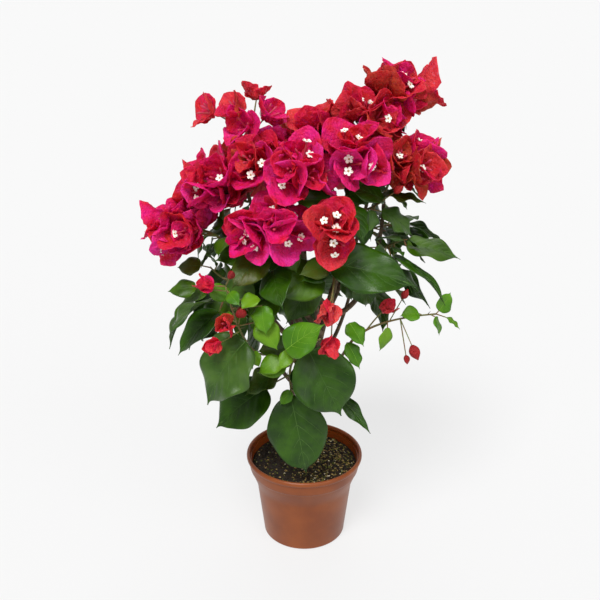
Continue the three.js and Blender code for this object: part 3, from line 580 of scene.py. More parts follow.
class Thicket:
    """The space that is taken, in cells, so that each mass keeps to its own."""

    def __init__(self):
        self.points = np.zeros((0, 3))
        self.radii = np.zeros(0)
        self.owners = np.zeros(0, int)
        self.keys = np.zeros(0, int)

    def key(self, cells):
        return (cells[:, 0] * MOST_CELLS + cells[:, 1]) * MOST_CELLS + cells[:, 2]

    def claim(self, points, radii, owner):
        cells = np.floor(points / CELL).astype(int)
        keys = np.concatenate([self.keys, self.key(cells)])
        order = np.argsort(keys, kind="stable")
        self.keys = keys[order]
        self.points = np.concatenate([self.points, points])[order]
        self.radii = np.concatenate([self.radii, np.broadcast_to(radii, len(points))])[order]
        self.owners = np.concatenate([self.owners, np.full(len(points), owner)])[order]

    def near(self, points, radii, owner):
        """Pairs of a feeler and a taken point: the feeler's number, share of their radii, if owned"""
        cells = np.floor(points / CELL).astype(int)
        feelers, others = [], []
        for over in (-1, 0, 1):
            for along in (-1, 0, 1):
                middle = self.key(cells + [over, along, 0])
                first = np.searchsorted(self.keys, middle - 1, "left")
                count = np.searchsorted(self.keys, middle + 1, "right") - first
                feeler = np.repeat(np.arange(len(points)), count)
                step = np.arange(count.sum()) - np.repeat(np.cumsum(count) - count, count)
                feelers.append(feeler)
                others.append(np.repeat(first, count) + step)
        feeler, other = np.concatenate(feelers), np.concatenate(others)
        apart = points[feeler] - self.points[other]
        distance = np.sqrt(apart[:, 0] ** 2 + apart[:, 1] ** 2 + apart[:, 2] ** 2)
        share = distance / (radii[feeler] + self.radii[other])
        return feeler, share, self.owners[other] == owner


def inside_pot(points):
    low = points[:, 2] < POT_HEIGHT + POT_CLEAR
    return low & (np.hypot(points[:, 0], points[:, 1]) < POT_RIM_RADIUS + POT_CLEAR)


def holds(mass, points):
    if mass["kind"] == "shoot":
        away = points - np.array(mass["middle"])
        return np.sqrt((away**2).sum(1)) < mass["reach"]
    away = (points - np.array(mass["middle"])) / (np.array(mass["reach"]) + OVER_REACH)
    return np.sqrt((away**2).sum(1)) < 1


def place_best(thicket, mass, pieces, close=1):
    """Adds the least crowded piece of those that keep to the mass's space and touch no other mass.

    With close under 1 a piece may come nearer to other masses than the solids do.
    """
    points, radii, whose, loose = [], [], [], []
    for number, piece in enumerate(pieces):
        blades = np.concatenate([blade_feelers(blade) for blade in piece["blades"]])
        if not holds(mass, blades).all() or inside_pot(blades).any():
            continue
        twig = curve_points(piece["twig"], 0.3)[1]
        points += [blades, twig]
        radii += [np.full(len(blades), BLADE_FEEL), np.full(len(twig), TWIG_FEEL)]
        whose.append(np.full(len(blades) + len(twig), number))
        loose += [np.ones(len(blades), bool), np.arange(len(twig)) >= len(twig) // 3]
    if not points:
        return False
    points, radii, whose, loose = (np.concatenate(rows) for rows in (points, radii, whose, loose))
    feeler, share, own = thicket.near(points, radii, mass["number"])
    touching = np.bincount(whose[feeler[~own & (share < close)]], minlength=len(pieces))
    crowding = np.bincount(whose[feeler[own & (share < OWN_CLEAR) & loose[feeler]]], minlength=len(pieces))
    allowed = np.zeros(len(pieces), bool)
    allowed[np.unique(whose)] = True
    allowed &= touching == 0
    if not allowed.any():
        return False
    best = int(np.argmin(np.where(allowed, crowding, np.iinfo(int).max)))
    thicket.claim(points[whose == best], radii[whose == best], mass["number"])
    mass["pieces"].append(pieces[best])
    return True


def twig_to(mass, share, end, arrival):
    start = point_on(mass["curve"], share)
    reach = size_of(minus(start, end))
    return [start, plus(end, arrival, -0.25 * reach), end]


def head_piece(mass, share, base, axis, length, spin, openness):
    first = any_square_to(axis)
    second = cross(axis, first)
    spread = math.radians(openness)
    blades = []
    for which in range(3):
        angle = math.radians(spin + 120 * which)
        radial = plus(times(first, math.cos(angle)), second, math.sin(angle))
        along = plus(times(axis, math.cos(spread)), radial, math.sin(spread))
        root = plus(base, radial, 0.5 * TWIG_RADIUS[1])
        long, wide = length * (1 - 0.06 * which), BRACT_WIDTH * length
        blades.append(make_blade(root, along, axis, long, wide, 0.75 * openness, BRACT_FOLD))
    twig = twig_to(mass, share, base, axis)
    return {"kind": "head", "base": base, "axis": axis, "length": length, "twig": twig, "blades": blades}


def outwards_of(point):
    """The azimuth of a point seen from the trunk's foot"""
    return math.atan2(point[1] - TRUNK_CURVE[0][1], point[0]) * (180 / math.pi)


def leaf_piece(mass, share, stalk_way, size, roll):
    azimuth, droop, length, width = size
    start = point_on(mass["curve"], share)
    base = plus(start, heading(stalk_way[0], stalk_way[1]), stalk_way[2])
    face = heading(outwards_of(base) + roll, FACE_RISE)
    blade = make_blade(base, heading(azimuth, -droop), face, length, width * length, LEAF_BEND, LEAF_FOLD)
    twig = [start, times(plus(start, base), 0.5), base]
    return {"kind": "leaf", "length": length, "twig": twig, "blades": [blade]}


def asked_leaf(mass, row, shift):
    share, (turn, rise, stalk), (azimuth, droop, length, width) = row
    way = [turn + shift(STALK_SHIFT), rise + shift(STALK_SHIFT), stalk * (1 + shift(0.3))]
    size = [azimuth + shift(LEAF_SHIFT), droop + shift(LEAF_SHIFT), length * (1 + shift(0.08)), width]
    return leaf_piece(mass, share, way, size, 0)


def asked_head(mass, row, shift):
    share, (azimuth, rise, stalk), length = row
    away = heading(azimuth + shift(HEAD_SHIFT), rise + shift(HEAD_SHIFT))
    base = plus(point_on(mass["curve"], share), away, stalk * (1 + shift(0.2)))
    axis = unit(plus(away, heading(azimuth, 0), 0.3))
    return head_piece(mass, share, base, axis, length, azimuth + 40 + shift(60), STALKED_OPENNESS)


def asked_bud(mass, row, shift):
    share, (azimuth, rise, stalk), length = row
    axis = heading(azimuth + shift(HEAD_SHIFT), rise + shift(HEAD_SHIFT))
    base = plus(point_on(mass["curve"], share), axis, stalk)
    blade = make_blade(base, axis, EAST, length, 0.6 * length, 1, 0)
    twig = twig_to(mass, share, base, axis)
    return {"kind": "bud", "base": base, "length": length, "axis": axis, "twig": twig, "blades": [blade]}


def try_head(mass, lengths):
    draw, reach, middle = mass["random"], mass["reach"], mass["middle"]
    spot = heading(360 * draw(), mix(-60, 90, draw()))
    spot = times(spot, mix(0.5, 1, draw()))
    centre = tuple(middle[i] + spot[i] * (reach[i] - HEAD_RADIUS) for i in range(3))
    outwards = unit((centre[0], centre[1], 0.6 * (centre[2] - CROWN_CORE)))
    axis = unit(plus(plus(outwards, spot, 0.9), UP, 0.1))
    size = draw()
    length = mix(*lengths, size)
    base = plus(centre, axis, -0.4 * length)
    share = mix(0.35, 0.95, draw())
    return head_piece(mass, share, base, axis, length, 360 * draw(), mix(*OPENNESS, size))


def try_leaf(mass, made, count, size):
    draw = mass["random"]
    share = mix(0.1, 1, (made + draw()) / count)
    side = 1 if made % 2 else -1
    azimuth = outwards_of(point_on(mass["curve"], share)) + side * mix(10, 100, draw())
    droop = mix(-5, 62, draw())
    length = size * mix(0.72, 1.12, draw())
    stalk = [azimuth, 12 - min(droop, 30), 0.2 * length + 4]
    return leaf_piece(mass, share, stalk, [azimuth, droop, length, LEAF_WIDTH], mix(-25, 25, draw()))


def grow_limbs(thicket):
    trunk = {"name": "trunk", "curve": [tuple(point) for point in TRUNK_CURVE], "radius": TRUNK_RADIUS}
    limbs = {"trunk": dict(trunk, flare=True)}
    for name, parent, share, tip, radius in BOUGHS:
        limbs[name] = branch(name, limbs[parent], share, tuple(tip), radius)
    for number, limb in enumerate(limbs.values()):
        shares, points = curve_points(limb["curve"])
        thicket.claim(points, np.array([limb_radius(limb, share) + 0.8 for share in shares]), -1 - number)
    return limbs


def grow_stems(thicket, limbs):
    """The stem of each mass, with the space that it may fill"""
    masses = {}
    for kind, rows in (("shoot", SHOOTS), ("truss", TRUSSES)):
        for number, (name, bough, share, tip, reach, count, last) in enumerate(rows, len(masses)):
            mass = branch(name, limbs[bough], share, tuple(tip), STEM_RADIUS)
            mass.update(kind=kind, number=number, random=seeded(SEED + number), pieces=[])
            mass.update(reach=reach, count=count, middle=tuple(tip), colours=last)
            if kind == "shoot":
                mass.update(middle=point_on(mass["curve"], 0.5), size=last)
                mass["colours"] = SHOOT_MIXES.get(name, "young")
            thicket.claim(curve_points(mass["curve"])[1], STEM_RADIUS[0] + 0.6, number)
            masses[name] = mass
    return masses


def put_asked(thicket, masses):
    """What is asked for one by one, each as asked or shifted a little"""
    for rows, make in ((LEAVES, asked_leaf), (STALKED_HEADS, asked_head), (BUDS, asked_bud)):
        for name, *row in rows:
            mass = masses[name]
            pieces = [make(mass, row, lambda reach: 0)]
            for _ in range(1, SHIFTS):
                pieces.append(make(mass, row, lambda reach: mix(-reach, reach, mass["random"]())))
            place_best(thicket, mass, pieces)


def fill_by_rule(thicket, masses):
    most = max(mass["count"] for mass in masses.values())
    for kind in ("truss", "shoot"):
        for made in range(most):
            for mass in masses.values():
                if mass["kind"] != kind or made >= mass["count"]:
                    continue
                if kind == "truss":
                    pieces = [try_head(mass, HEAD_LENGTHS) for _ in range(TRIES)]
                else:
                    pieces = [try_leaf(mass, made, mass["count"], mass["size"]) for _ in range(TRIES)]
                place_best(thicket, mass, pieces)


def fill_with_small(thicket, masses):
    """The rule carried on to smaller heads and leaves, which the solids leave out"""
    for made in range(SMALL_HEADS):
        for mass in masses.values():
            if mass["kind"] == "truss" and made < FEW_SMALL_HEADS.get(mass["name"], SMALL_HEADS):
                pieces = [try_head(mass, SMALL_HEAD_LENGTHS) for _ in range(SMALL_TRIES)]
                place_best(thicket, mass, pieces, SMALL_CLOSE)
    for made in range(SMALL_LEAVES):
        for mass in masses.values():
            size = SMALL_LEAF
            if mass["kind"] == "shoot":
                size = SMALL_LEAF_SHARE * max(mass["size"], LEAST_MEAN_LENGTH)
            if mass["name"] not in BARE_SHOOTS:
                pieces = [try_leaf(mass, made, SMALL_LEAVES, size) for _ in range(SMALL_TRIES)]
                place_best(thicket, mass, pieces, SMALL_CLOSE)


# Meshes are worked out in millimetres and made into metres as a piece is built.
class Piece:
    """Gathers corners and faces. A face has four corners, or three with the last named twice."""

    def __init__(self):
        self.points, self.faces, self.count = [], [], 0

    def add(self, points, faces):
        self.points.append(np.asarray(points, float).reshape(-1, 3))
        self.faces.append(np.asarray(faces, int).reshape(-1, 4) + self.count)
        self.count += len(self.points[-1])

    def build(self, name, material, slot):
        points, faces = np.concatenate(self.points) * MM, np.concatenate(self.faces)
        corners = np.ones(faces.shape, bool)
        corners[:, 3] = faces[:, 2] != faces[:, 3]
        starts = np.concatenate([[0], np.cumsum(corners.sum(1))[:-1]])
        mesh = bpy.data.meshes.new(name)
        mesh.vertices.add(len(points))
        mesh.vertices.foreach_set("co", points.astype(np.float32).ravel())
        mesh.loops.add(int(corners.sum()))
        mesh.loops.foreach_set("vertex_index", faces[corners].astype(np.int32))
        mesh.polygons.add(len(faces))
        mesh.polygons.foreach_set("loop_start", starts.astype(np.int32))
        mesh.update(calc_edges=True)
        mesh.validate()
        mesh.shade_smooth()
        mesh.materials.append(material)
        piece = bpy.data.objects.new(name, mesh)
        bpy.context.scene.collection.objects.link(piece)
        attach(piece, "root")
        return piece


def grid_faces(rows, columns, wrap=False):
    """Faces between rows of points. With wrap, the last column joins the first."""
    row, column = np.meshgrid(np.arange(rows - 1), np.arange(columns - (0 if wrap else 1)), indexing="ij")
    here, beside = row * columns + column, row * columns + (column + 1) % columns
    return np.stack([here, beside, beside + columns, here + columns], -1).reshape(-1, 4)


def unit_rows(rows):
    return rows / np.maximum(np.linalg.norm(rows, axis=-1), 1e-9)[..., None]


def closed_faces(rows, columns):
    """Faces of rings of points, with a fan at each end to one of the two points that follow them"""
    turn = np.arange(columns)
    after = (turn + 1) % columns
    foot = rows * columns
    last = foot - columns
    foot_cap = np.stack([np.full(columns, foot), after, turn, turn], -1)
    top_cap = np.stack([np.full(columns, foot + 1), last + turn, last + after, last + after], -1)
    return np.concatenate([grid_faces(rows, columns, wrap=True), foot_cap, top_cap])


def round_angles(sides):
    return 2 * math.pi * np.arange(sides) / sides


def add_tube(piece, centres, radii, sides, relief=None):
    """A closed tube through points. relief scales each corner's distance from the middle."""
    centres, radii = np.asarray(centres, float), np.asarray(radii, float)
    along = unit_rows(np.gradient(centres, axis=0))
    across = np.zeros_like(along)
    across[0] = any_square_to(tuple(along[0]))
    for step in range(1, len(along)):
        across[step] = across[step - 1] - along[step] * (across[step - 1] @ along[step])
        across[step] /= np.linalg.norm(across[step])
    other = np.cross(along, across)
    angle = round_angles(sides)
    out = across[:, None] * np.cos(angle)[None, :, None] + other[:, None] * np.sin(angle)[None, :, None]
    far = np.repeat(radii[:, None], sides, 1)
    if relief is not None:
        far = far * relief
    rings = (centres[:, None] + out * far[..., None]).reshape(-1, 3)
    piece.add(np.concatenate([rings, centres[:1], centres[-1:]]), closed_faces(len(centres), sides))


def smooth_curve(curve, spacing):
    steps = max(4, math.ceil(span(curve) / spacing))
    shares = np.linspace(0, 1, steps + 1)
    start, control, end = (np.array(point) for point in curve)
    rest = (1 - shares)[:, None]
    share = shares[:, None]
    return shares, start * rest**2 + control * (2 * rest * share) + end * share**2


def creases(dice, flat, size, ways):
    """Sharp-edged folds that cross a sheet in random ways, about from -1 to 1"""
    total = np.zeros(len(flat))
    for _ in range(ways):
        turn, phase = dice.uniform(0, math.pi), dice.uniform(0, math.pi)
        length = size * dice.uniform(0.7, 1.5)
        run = flat[:, 0] * math.cos(turn) + flat[:, 1] * math.sin(turn)
        total += np.abs(np.sin(math.pi * run / length + phase)) * 2 - 1.27
    return total / math.sqrt(ways)


def smooth_step(share):
    share = np.clip(share, 0, 1)
    return share * share * (3 - 2 * share)


def finished_outline(share, form):
    """The half width of a finished blade over its greatest: fuller than a solid's, with a drip tip"""
    share = np.clip(share, 0, 1)
    body = np.sin(math.pi * share ** form["peak"]) ** (form["round"] + form["taper"] * share)
    body = body * (1 + form["ragged"] * np.sin(2 * math.pi * form["nicks"] * share + form["phase"]))
    return np.maximum(body * (1 - form["drip"] * smooth_step((share - 0.8) / 0.15)), BLADE_STUB)


def turned_about(vector, axis, degrees):
    turn = math.radians(degrees)
    vector, axis = np.array(vector), np.array(axis)
    flat = vector * math.cos(turn) + np.cross(axis, vector) * math.sin(turn)
    return flat + axis * (axis @ vector) * (1 - math.cos(turn))


def vein_lean(across):
    """How far a side vein has run towards the tip, at shares of the half width"""
    across = np.abs(across)
    return VEIN_LEAN * across * (1 + 0.25 * across)


def surface(blade, form, share, across):
    """Points on a finished blade, at shares of its length and of its half width"""
    middle, side, turned = blade_frame(blade, share)
    length = blade["length"]
    body = finished_outline(share, form)
    half = 0.5 * blade["width"] * body * across
    fold = math.radians(blade["fold"])
    rise = (np.sqrt(half**2 + form["crease"] ** 2) - form["crease"]) * math.sin(fold)
    rise = rise + form["cup"] * half**2 / blade["width"]
    fields = np.sin(math.pi * form["veins"] * (share - vein_lean(across))) ** 2
    rise += form["relief"] * length * fields * np.minimum(1, 5 * np.abs(across)) * (1 - across**2) * body
    wave = np.sin(2 * math.pi * form["waves"] * share + form["phase"] + form["twist"] * np.sign(across))
    rise += form["ripple"] * length * np.abs(across) ** 2.5 * wave * np.sqrt(body)
    if form["crumple"]:
        dice = random.Random(form["seed"])
        flat = np.stack([share * length, half], -1)
        rise += form["crumple"] * creases(dice, flat, FOLD_SIZE, 3) * np.sqrt(body)
    sway = form["sway"] * length * share**2
    return middle + side * (half * math.cos(fold) + sway)[:, None] + turned * rise[:, None]


def drawn(ranges, dice):
    """The values, with a number drawn from each pair, and a seed for None"""
    values = {}
    for key, value in ranges.items():
        if value is None:
            value = dice.randrange(10**6)
        values[key] = dice.uniform(*value) if isinstance(value, tuple) else value
    return values


def add_blade(piece, blade, form, grid, thick):
    """A thin closed sheet in the blade's outline"""
    rows, columns = grid
    even = np.linspace(0, 1, rows)
    spread = EVEN_ROWS * even + (1 - EVEN_ROWS) * (0.5 - 0.5 * np.cos(math.pi * even))
    shares, acrosses = np.meshgrid(spread, np.linspace(-1, 1, columns), indexing="ij")
    sheet = surface(blade, form, shares.ravel(), acrosses.ravel()).reshape(rows, columns, 3)
    offset = unit_rows(np.cross(np.gradient(sheet, axis=1), np.gradient(sheet, axis=0))) * (0.5 * thick)
    count = rows * columns
    right = np.arange(1, rows) * columns + columns - 1
    left = np.arange(rows - 2, 0, -1) * columns
    rim = np.concatenate([np.arange(columns), right, count - 2 - np.arange(columns - 1), left])
    after = np.roll(rim, -1)
    edge = np.stack([rim, after, after + count, rim + count], -1)
    faces = grid_faces(rows, columns)
    points = np.concatenate([(sheet + offset).reshape(-1, 3), (sheet - offset).reshape(-1, 3)])
    piece.add(points, np.concatenate([faces[:, ::-1], faces + count, edge]))


def add_vein(piece, blade, form, shares, acrosses, wide, proud):
    """A raised strip along a line over the blade, on both its faces"""
    count = len(shares)
    half = 0.5 * blade["width"] * np.maximum(finished_outline(shares, form), 0.05)
    flat = np.stack([shares * blade["length"], acrosses * half], -1)
    way = unit_rows(np.gradient(flat, axis=0))
    step = (wide * np.linspace(1, VEIN_TAPER, count))[:, None] * np.stack([-way[:, 1], way[:, 0]], -1)
    edges = (flat + step, flat - step)
    sides = [surface(blade, form, edge[:, 0] / blade["length"], edge[:, 1] / half) for edge in edges]
    middle = surface(blade, form, shares, acrosses)
    normal = unit_rows(np.cross(np.gradient(middle, axis=0), sides[1] - sides[0]))
    points = np.concatenate([sides[0], middle + normal * proud, sides[1], middle - normal * proud])
    step = np.arange(count - 1)
    faces = []
    for line in range(4):
        this, that = line * count, (line + 1) % 4 * count
        faces.append(np.stack([this + step, that + step, that + step + 1, this + step + 1], -1))
    corners = np.arange(4) * count
    faces.append(corners[None, ::-1])
    faces.append(corners[None] + count - 1)
    piece.add(points, np.concatenate(faces))


def add_twig(pieces, curve, foot, tip):
    shares, centres = smooth_curve(curve, TWIG_SPACING)
    add_tube(pieces["twigs"], centres, mix(foot, tip, shares), TWIG_SIDES)


def add_leaf(pieces, colour, source, dice):
    """A leaf with its veins and its stalk"""
    blade = dict(source["blades"][0])
    form = drawn(LEAF_FORM, dice)
    blade["bend"] *= dice.uniform(*LEAF_BENDS)
    length = blade["length"]
    is_large = length > LARGE_LEAF
    thick = max(LEAF_THICK, LEAF_THICK_SHARE * length)
    add_blade(pieces[f"leaves_{colour}"], blade, form, LARGE_LEAF_GRID if is_large else LEAF_GRID, thick)
    veins = pieces["young_veins" if colour in PALE_LEAVES else "leaf_veins"]
    shares = np.linspace(0.005, 0.93, 14)
    add_vein(veins, blade, form, shares, np.zeros(14), MIDRIB_WIDTH * length, thick + MIDRIB_PROUD)
    pairs = range(1, form["veins"]) if is_large else []
    for pair in pairs:
        across = np.linspace(0.02, 0.86 - 0.06 * pair, 7)
        shares = pair / form["veins"] + vein_lean(across)
        inside = shares < 0.96
        if inside.sum() < 3:
            continue
        wide, proud = SIDE_VEIN_WIDTH * length, thick + SIDE_VEIN_PROUD
        for side in (-1, 1):
            add_vein(veins, blade, form, shares[inside], side * across[inside], wide, proud)
    girth = 0.55 + 0.006 * length
    add_twig(pieces, source["twig"], girth, 0.8 * girth)


def turned_front(piece):
    """The head turned on its stalk, so that its first bract is at the back and the others show"""
    axis, first = piece["axis"], piece["blades"][0]["along"]
    now, back = square_to(first, axis), square_to((0.0, 1.0, 0.0), axis)
    degrees = math.degrees(math.atan2(dot(cross(now, back), axis), dot(now, back)))
    blades = []
    for source in piece["blades"]:
        blade = dict(source)
        for key in ("along", "face"):
            blade[key] = tuple(turned_about(source[key], axis, degrees))
        blades.append(blade)
    return dict(piece, blades=blades)


def finished_bract(source, axis, swell, is_young, dice):
    """A bract's blade, turned and sized a little differently from the others, and its form"""
    form = drawn(BRACT_FORM, dice)
    varied = drawn(BRACT_VARIES, dice)
    blade = dict(source, bend=source["bend"] * varied["bend"], fold=varied["fold"])
    blade["width"] *= varied["width"] * swell
    blade["length"] *= varied["length"] * swell
    across = unit(tuple(np.cross(axis, blade["along"])))
    opening = varied["opening"]
    if is_young:
        opening += YOUNG_CLOSING
        blade["width"] *= YOUNG_SLIMMING
    for key in ("along", "face"):
        blade[key] = turned_about(blade[key], across, opening)
    blade["face"] = tuple(turned_about(blade["face"], blade["along"], varied["roll"]))
    blade["along"] = tuple(blade["along"])
    return blade, form


def add_head(pieces, colour, source, dice, open_flowers, is_young):
    """Three papery bracts, each with a flower tube. A young head is half closed."""
    base, axis, length = np.array(source["base"]), np.array(source["axis"]), source["length"]
    swell = BRACT_SWELL if length > SMALL_HEAD_LENGTHS[1] else 1
    ribs = pieces["bract_ribs"]
    for number, plain in enumerate(source["blades"]):
        blade, form = finished_bract(plain, axis, swell, is_young, dice)
        near = colour if dice.random() < OWN_COLOUR_SHARE else dice.choice(NEAR_COLOURS[colour])
        add_blade(pieces[f"bracts_{near}"], blade, form, BRACT_GRID, BRACT_THICK)
        add_vein(ribs, blade, form, np.linspace(0.01, 0.88, 7), np.zeros(7), *MIDRIB)
        line = np.linspace(0.03, 0.8, 4)
        for start in SIDE_RIB_STARTS:
            for side in (-1, 1):
                shares = start + SIDE_RIB_LEAN * line * (1 + 0.2 * line)
                add_vein(ribs, blade, form, shares, side * line, *SIDE_RIB)
        away = np.array(blade["along"])
        lean = unit(tuple(axis + 0.5 * (away - axis * (away @ axis))))
        girths = np.array(TUBE_GIRTHS)
        shares = np.linspace(0, 1, len(girths))
        centres = base + np.outer(shares * (length * dice.uniform(*TUBE_LENGTHS)), lean)
        is_open = number < open_flowers
        if not is_open:
            girths[-2:] = CLOSED_TUBE_END
        add_tube(pieces["flower_tubes"], centres, girths, 6)
        if is_open:
            add_star(pieces, centres[-1], np.array(lean), dice)
    add_twig(pieces, source["twig"], *HEAD_TWIG)


def add_star(pieces, centre, axis, dice):
    """A small flower with five notched lobes and a pale eye, open in its middle over the tube's end"""
    first = np.array(any_square_to(tuple(axis)))
    second = np.cross(axis, first)
    spin = dice.uniform(0, 2 * math.pi)
    angle = round_angles(STAR_SIDES)
    lobe = np.abs(np.cos(2.5 * angle)) ** 0.6
    far = dice.uniform(*STAR_SIZES) * (0.56 + 0.44 * lobe)
    out = first * np.cos(angle + spin)[:, None] + second * np.sin(angle + spin)[:, None]
    rings = []
    for share, lift in STAR_RINGS:
        wave = STAR_WAVE * share * np.sin(5 * angle + spin)[:, None] * axis
        rings.append(centre + out * (share * far)[:, None] + axis * lift + wave)
    upper = np.concatenate(rings)
    lower = upper - axis * STAR_THICK
    count = len(upper)
    faces = grid_faces(len(rings), STAR_SIDES, wrap=True)
    edge = count - STAR_SIDES + np.arange(STAR_SIDES)
    after = np.roll(edge, -1)
    rim = np.stack([edge, after, after + count, edge + count], -1)
    star_faces = np.concatenate([faces, faces[:, ::-1] + count, rim[:, ::-1]])
    pieces["flower_stars"].add(np.concatenate([upper, lower]), star_faces)
    add_tube(pieces["flower_eyes"], centre + np.outer(EYE_HEIGHTS, axis), EYE_GIRTHS, 8)


def add_bud(pieces, source):
    base, axis, length = np.array(source["base"]), np.array(source["axis"]), source["length"]
    shares = np.linspace(0, 1, len(BUD_OUTLINE))
    centres = base + np.outer(shares * length, axis)
    girths = BUD_GIRTH * length * np.array(BUD_OUTLINE)
    relief = 1 + 0.12 * np.cos(3 * round_angles(BUD_SIDES))[None, :] * np.ones((len(BUD_OUTLINE), 1))
    add_tube(pieces["bract_buds"], centres, girths, BUD_SIDES, relief)
    add_twig(pieces, source["twig"], *BUD_TWIG)


# Materials, from plain base colours
def linear(colour):
    """A colour from 0 to 255 as the shader takes it"""
    shades = [value / 255 for value in colour]
    return (*(((shade + 0.055) / 1.055) ** 2.4 if shade > 0.04 else shade / 12.92 for shade in shades), 1)


def set_sockets(node, values):
    for socket, value in values.items():
        node.inputs[socket].default_value = value


def noise(material, place, scale, detail):
    texture = material.node_tree.nodes.new("ShaderNodeTexNoise")
    set_sockets(texture, {"Scale": scale, "Detail": detail})
    material.node_tree.links.new(place.outputs["Object"], texture.inputs["Vector"])
    return texture.outputs["Fac"]


def paint(name, colour, other, rough, mottle_scale, grain_scale, bump, depth, extra=None):
    """Two near colours mottled by noise, and a fine relief"""
    material = bpy.data.materials.new(name)
    material.use_nodes = True
    nodes, links = material.node_tree.nodes, material.node_tree.links
    shader = nodes["Principled BSDF"]
    place = nodes.new("ShaderNodeTexCoord")
    ramp = nodes.new("ShaderNodeValToRGB")
    for element, position, shade in zip(ramp.color_ramp.elements, MOTTLE_EDGES, (colour, other)):
        element.position, element.color = position, linear(shade)
    links.new(noise(material, place, mottle_scale, MOTTLE_DETAIL), ramp.inputs["Fac"])
    links.new(ramp.outputs["Color"], shader.inputs["Base Color"])
    relief = nodes.new("ShaderNodeBump")
    set_sockets(relief, {"Strength": bump, "Distance": depth})
    links.new(noise(material, place, grain_scale, GRAIN_DETAIL), relief.inputs["Height"])
    links.new(relief.outputs["Normal"], shader.inputs["Normal"])
    set_sockets(shader, {"Roughness": rough, **(extra or {})})
    return material


def plain_paint(name, extra=None):
    return paint(name, *PAINTS[name], extra)


def leaf_paint(name, pair, rough, sheen):
    extra = {
        "Subsurface Weight": 0.05, "Subsurface Radius": (0.002, 0.004, 0.001), "Sheen Weight": sheen,
        "Sheen Roughness": 0.4, "Specular IOR Level": 0.27,
    }
    return paint(name, *pair, rough, 48, 1100, 0.35, 0.0004, extra)


def bract_paint(name, pair):
    extra = {
        "Subsurface Weight": 0.35, "Subsurface Radius": (0.003, 0.0008, 0.0012), "Subsurface Scale": 1,
        "Specular IOR Level": 0.25,
    }
    return paint(name, *pair, 0.58, 62, 480, 1, 0.0018, extra)


# The plant
def bark_relief(shares, length, sides, dice, coarse):
    """Ridges that run and fork along a limb, with rings where leaves once stood"""
    angle = round_angles(sides)[None]
    run = (shares * length)[:, None]
    ridges = np.zeros((len(shares), sides))
    for number in range(5):
        count, slant, phase = dice.choice(RIDGE_COUNTS), dice.uniform(-0.03, 0.03), dice.uniform(0, 6)
        waver = 0.8 * np.sin(run * dice.uniform(0.04, 0.12) + phase)
        ridge = np.abs(np.sin(0.5 * count * angle + slant * run * count + waver)) - 0.6
        ridges += ridge / (1 + 0.4 * number)
    knots = 0.0
    for _ in range(max(2, int(length / KNOT_SPACING))):
        spot, turn = dice.uniform(0, length), dice.uniform(0, 2 * math.pi)
        near = np.exp(-(((run - spot) / (1.6 * coarse)) ** 2))
        knots = knots + near * (0.5 + 0.5 * np.cos(angle - turn)) ** 2
    return 1 + 0.06 * coarse * ridges + 0.13 * knots


def make_limbs(pieces, limbs, masses):
    """The bark of the limbs, each bough sunk into its parent, the masses' stems and the thorns"""
    dice = random.Random("bark")
    for limb in limbs.values():
        is_trunk = limb["name"] == "trunk"
        shares, centres = smooth_curve(limb["curve"], LIMB_SPACING)
        if not is_trunk:
            inner = np.array(limb["origin"])
            lead = np.linspace(0, 1, 4)[:-1, None]
            centres = np.concatenate([inner + (centres[0] - inner) * lead, centres])
            shares = np.concatenate([np.zeros(3), shares])
        length = span(limb["curve"])
        radii = np.array([limb_radius(limb, share) for share in shares])
        radii *= 1 + 0.35 * np.exp(-shares * length / 4) * (not is_trunk)
        sides = TRUNK_SIDES if is_trunk else BOUGH_SIDES
        relief = bark_relief(shares, length, sides, dice, 1 if is_trunk else BOUGH_BARK)
        if is_trunk:
            relief = relief * flare_relief(shares, length, sides)
        add_tube(pieces["limbs_bark"], centres, radii, sides, relief)
        add_thorns(pieces["thorns"], limb, radii[-1], dice)
    for mass in masses.values():
        shares, centres = smooth_curve(mass["curve"], STEM_SPACING)
        origin = np.array(mass["origin"])
        centres = np.concatenate([[origin, 0.5 * (origin + centres[0])], centres])
        shares = np.concatenate([[0, 0], shares])
        bumps = 1 + 0.16 * np.abs(np.sin(math.pi * shares * 4.5)) ** 12
        add_tube(pieces["mass_stems"], centres, mix(*STEM_GIRTH, shares) * bumps, STEM_SIDES)
        add_thorns(pieces["thorns"], mass, 1.1, dice)


def flare_relief(shares, length, sides):
    """The roots' swelling at the foot of the trunk"""
    angle = round_angles(sides)
    near = np.exp(-(shares * length / 9) ** 1.4)[:, None]
    return 1 + 0.16 * near * (np.cos(4 * angle + 0.6)[None] + 0.5 * np.cos(7 * angle)[None])


def add_thorns(piece, limb, radius, dice):
    length = span(limb["curve"])
    for share in np.arange(0.2, 0.95, max(0.12, THORN_SPACING / length)):
        if dice.random() < 0.4:
            continue
        root = point_on(limb["curve"], share)
        along = tangent_on(limb["curve"], share)
        out = square_to(heading(dice.uniform(0, 360), dice.uniform(-30, 40)), along)
        tip = plus(plus(root, out, radius + dice.uniform(*THORN_LENGTHS)), along, 1.5)
        middle = plus(root, out, 0.6 * radius + 1.6)
        centres = smooth_curve([plus(root, out, 0.5 * radius), middle, tip], 1)[1]
        add_tube(piece, centres, np.linspace(0.55, 0.08, len(centres)), 6)


def leaf_colour(shoot, length, dice):
    if shoot not in YOUNG_SHOOTS:
        return dice.choice(OLD_MIX if length > OLD_LENGTH else GREEN_MIX)
    # Long leaves of young shoots take the grey green, whose base colour holds painted sheen
    if length >= PAINTED_SHEEN_LENGTH:
        return "green_painted_sheen"
    return "fresh" if length > FRESH_LENGTH else dice.choice(YOUNG_MIX)


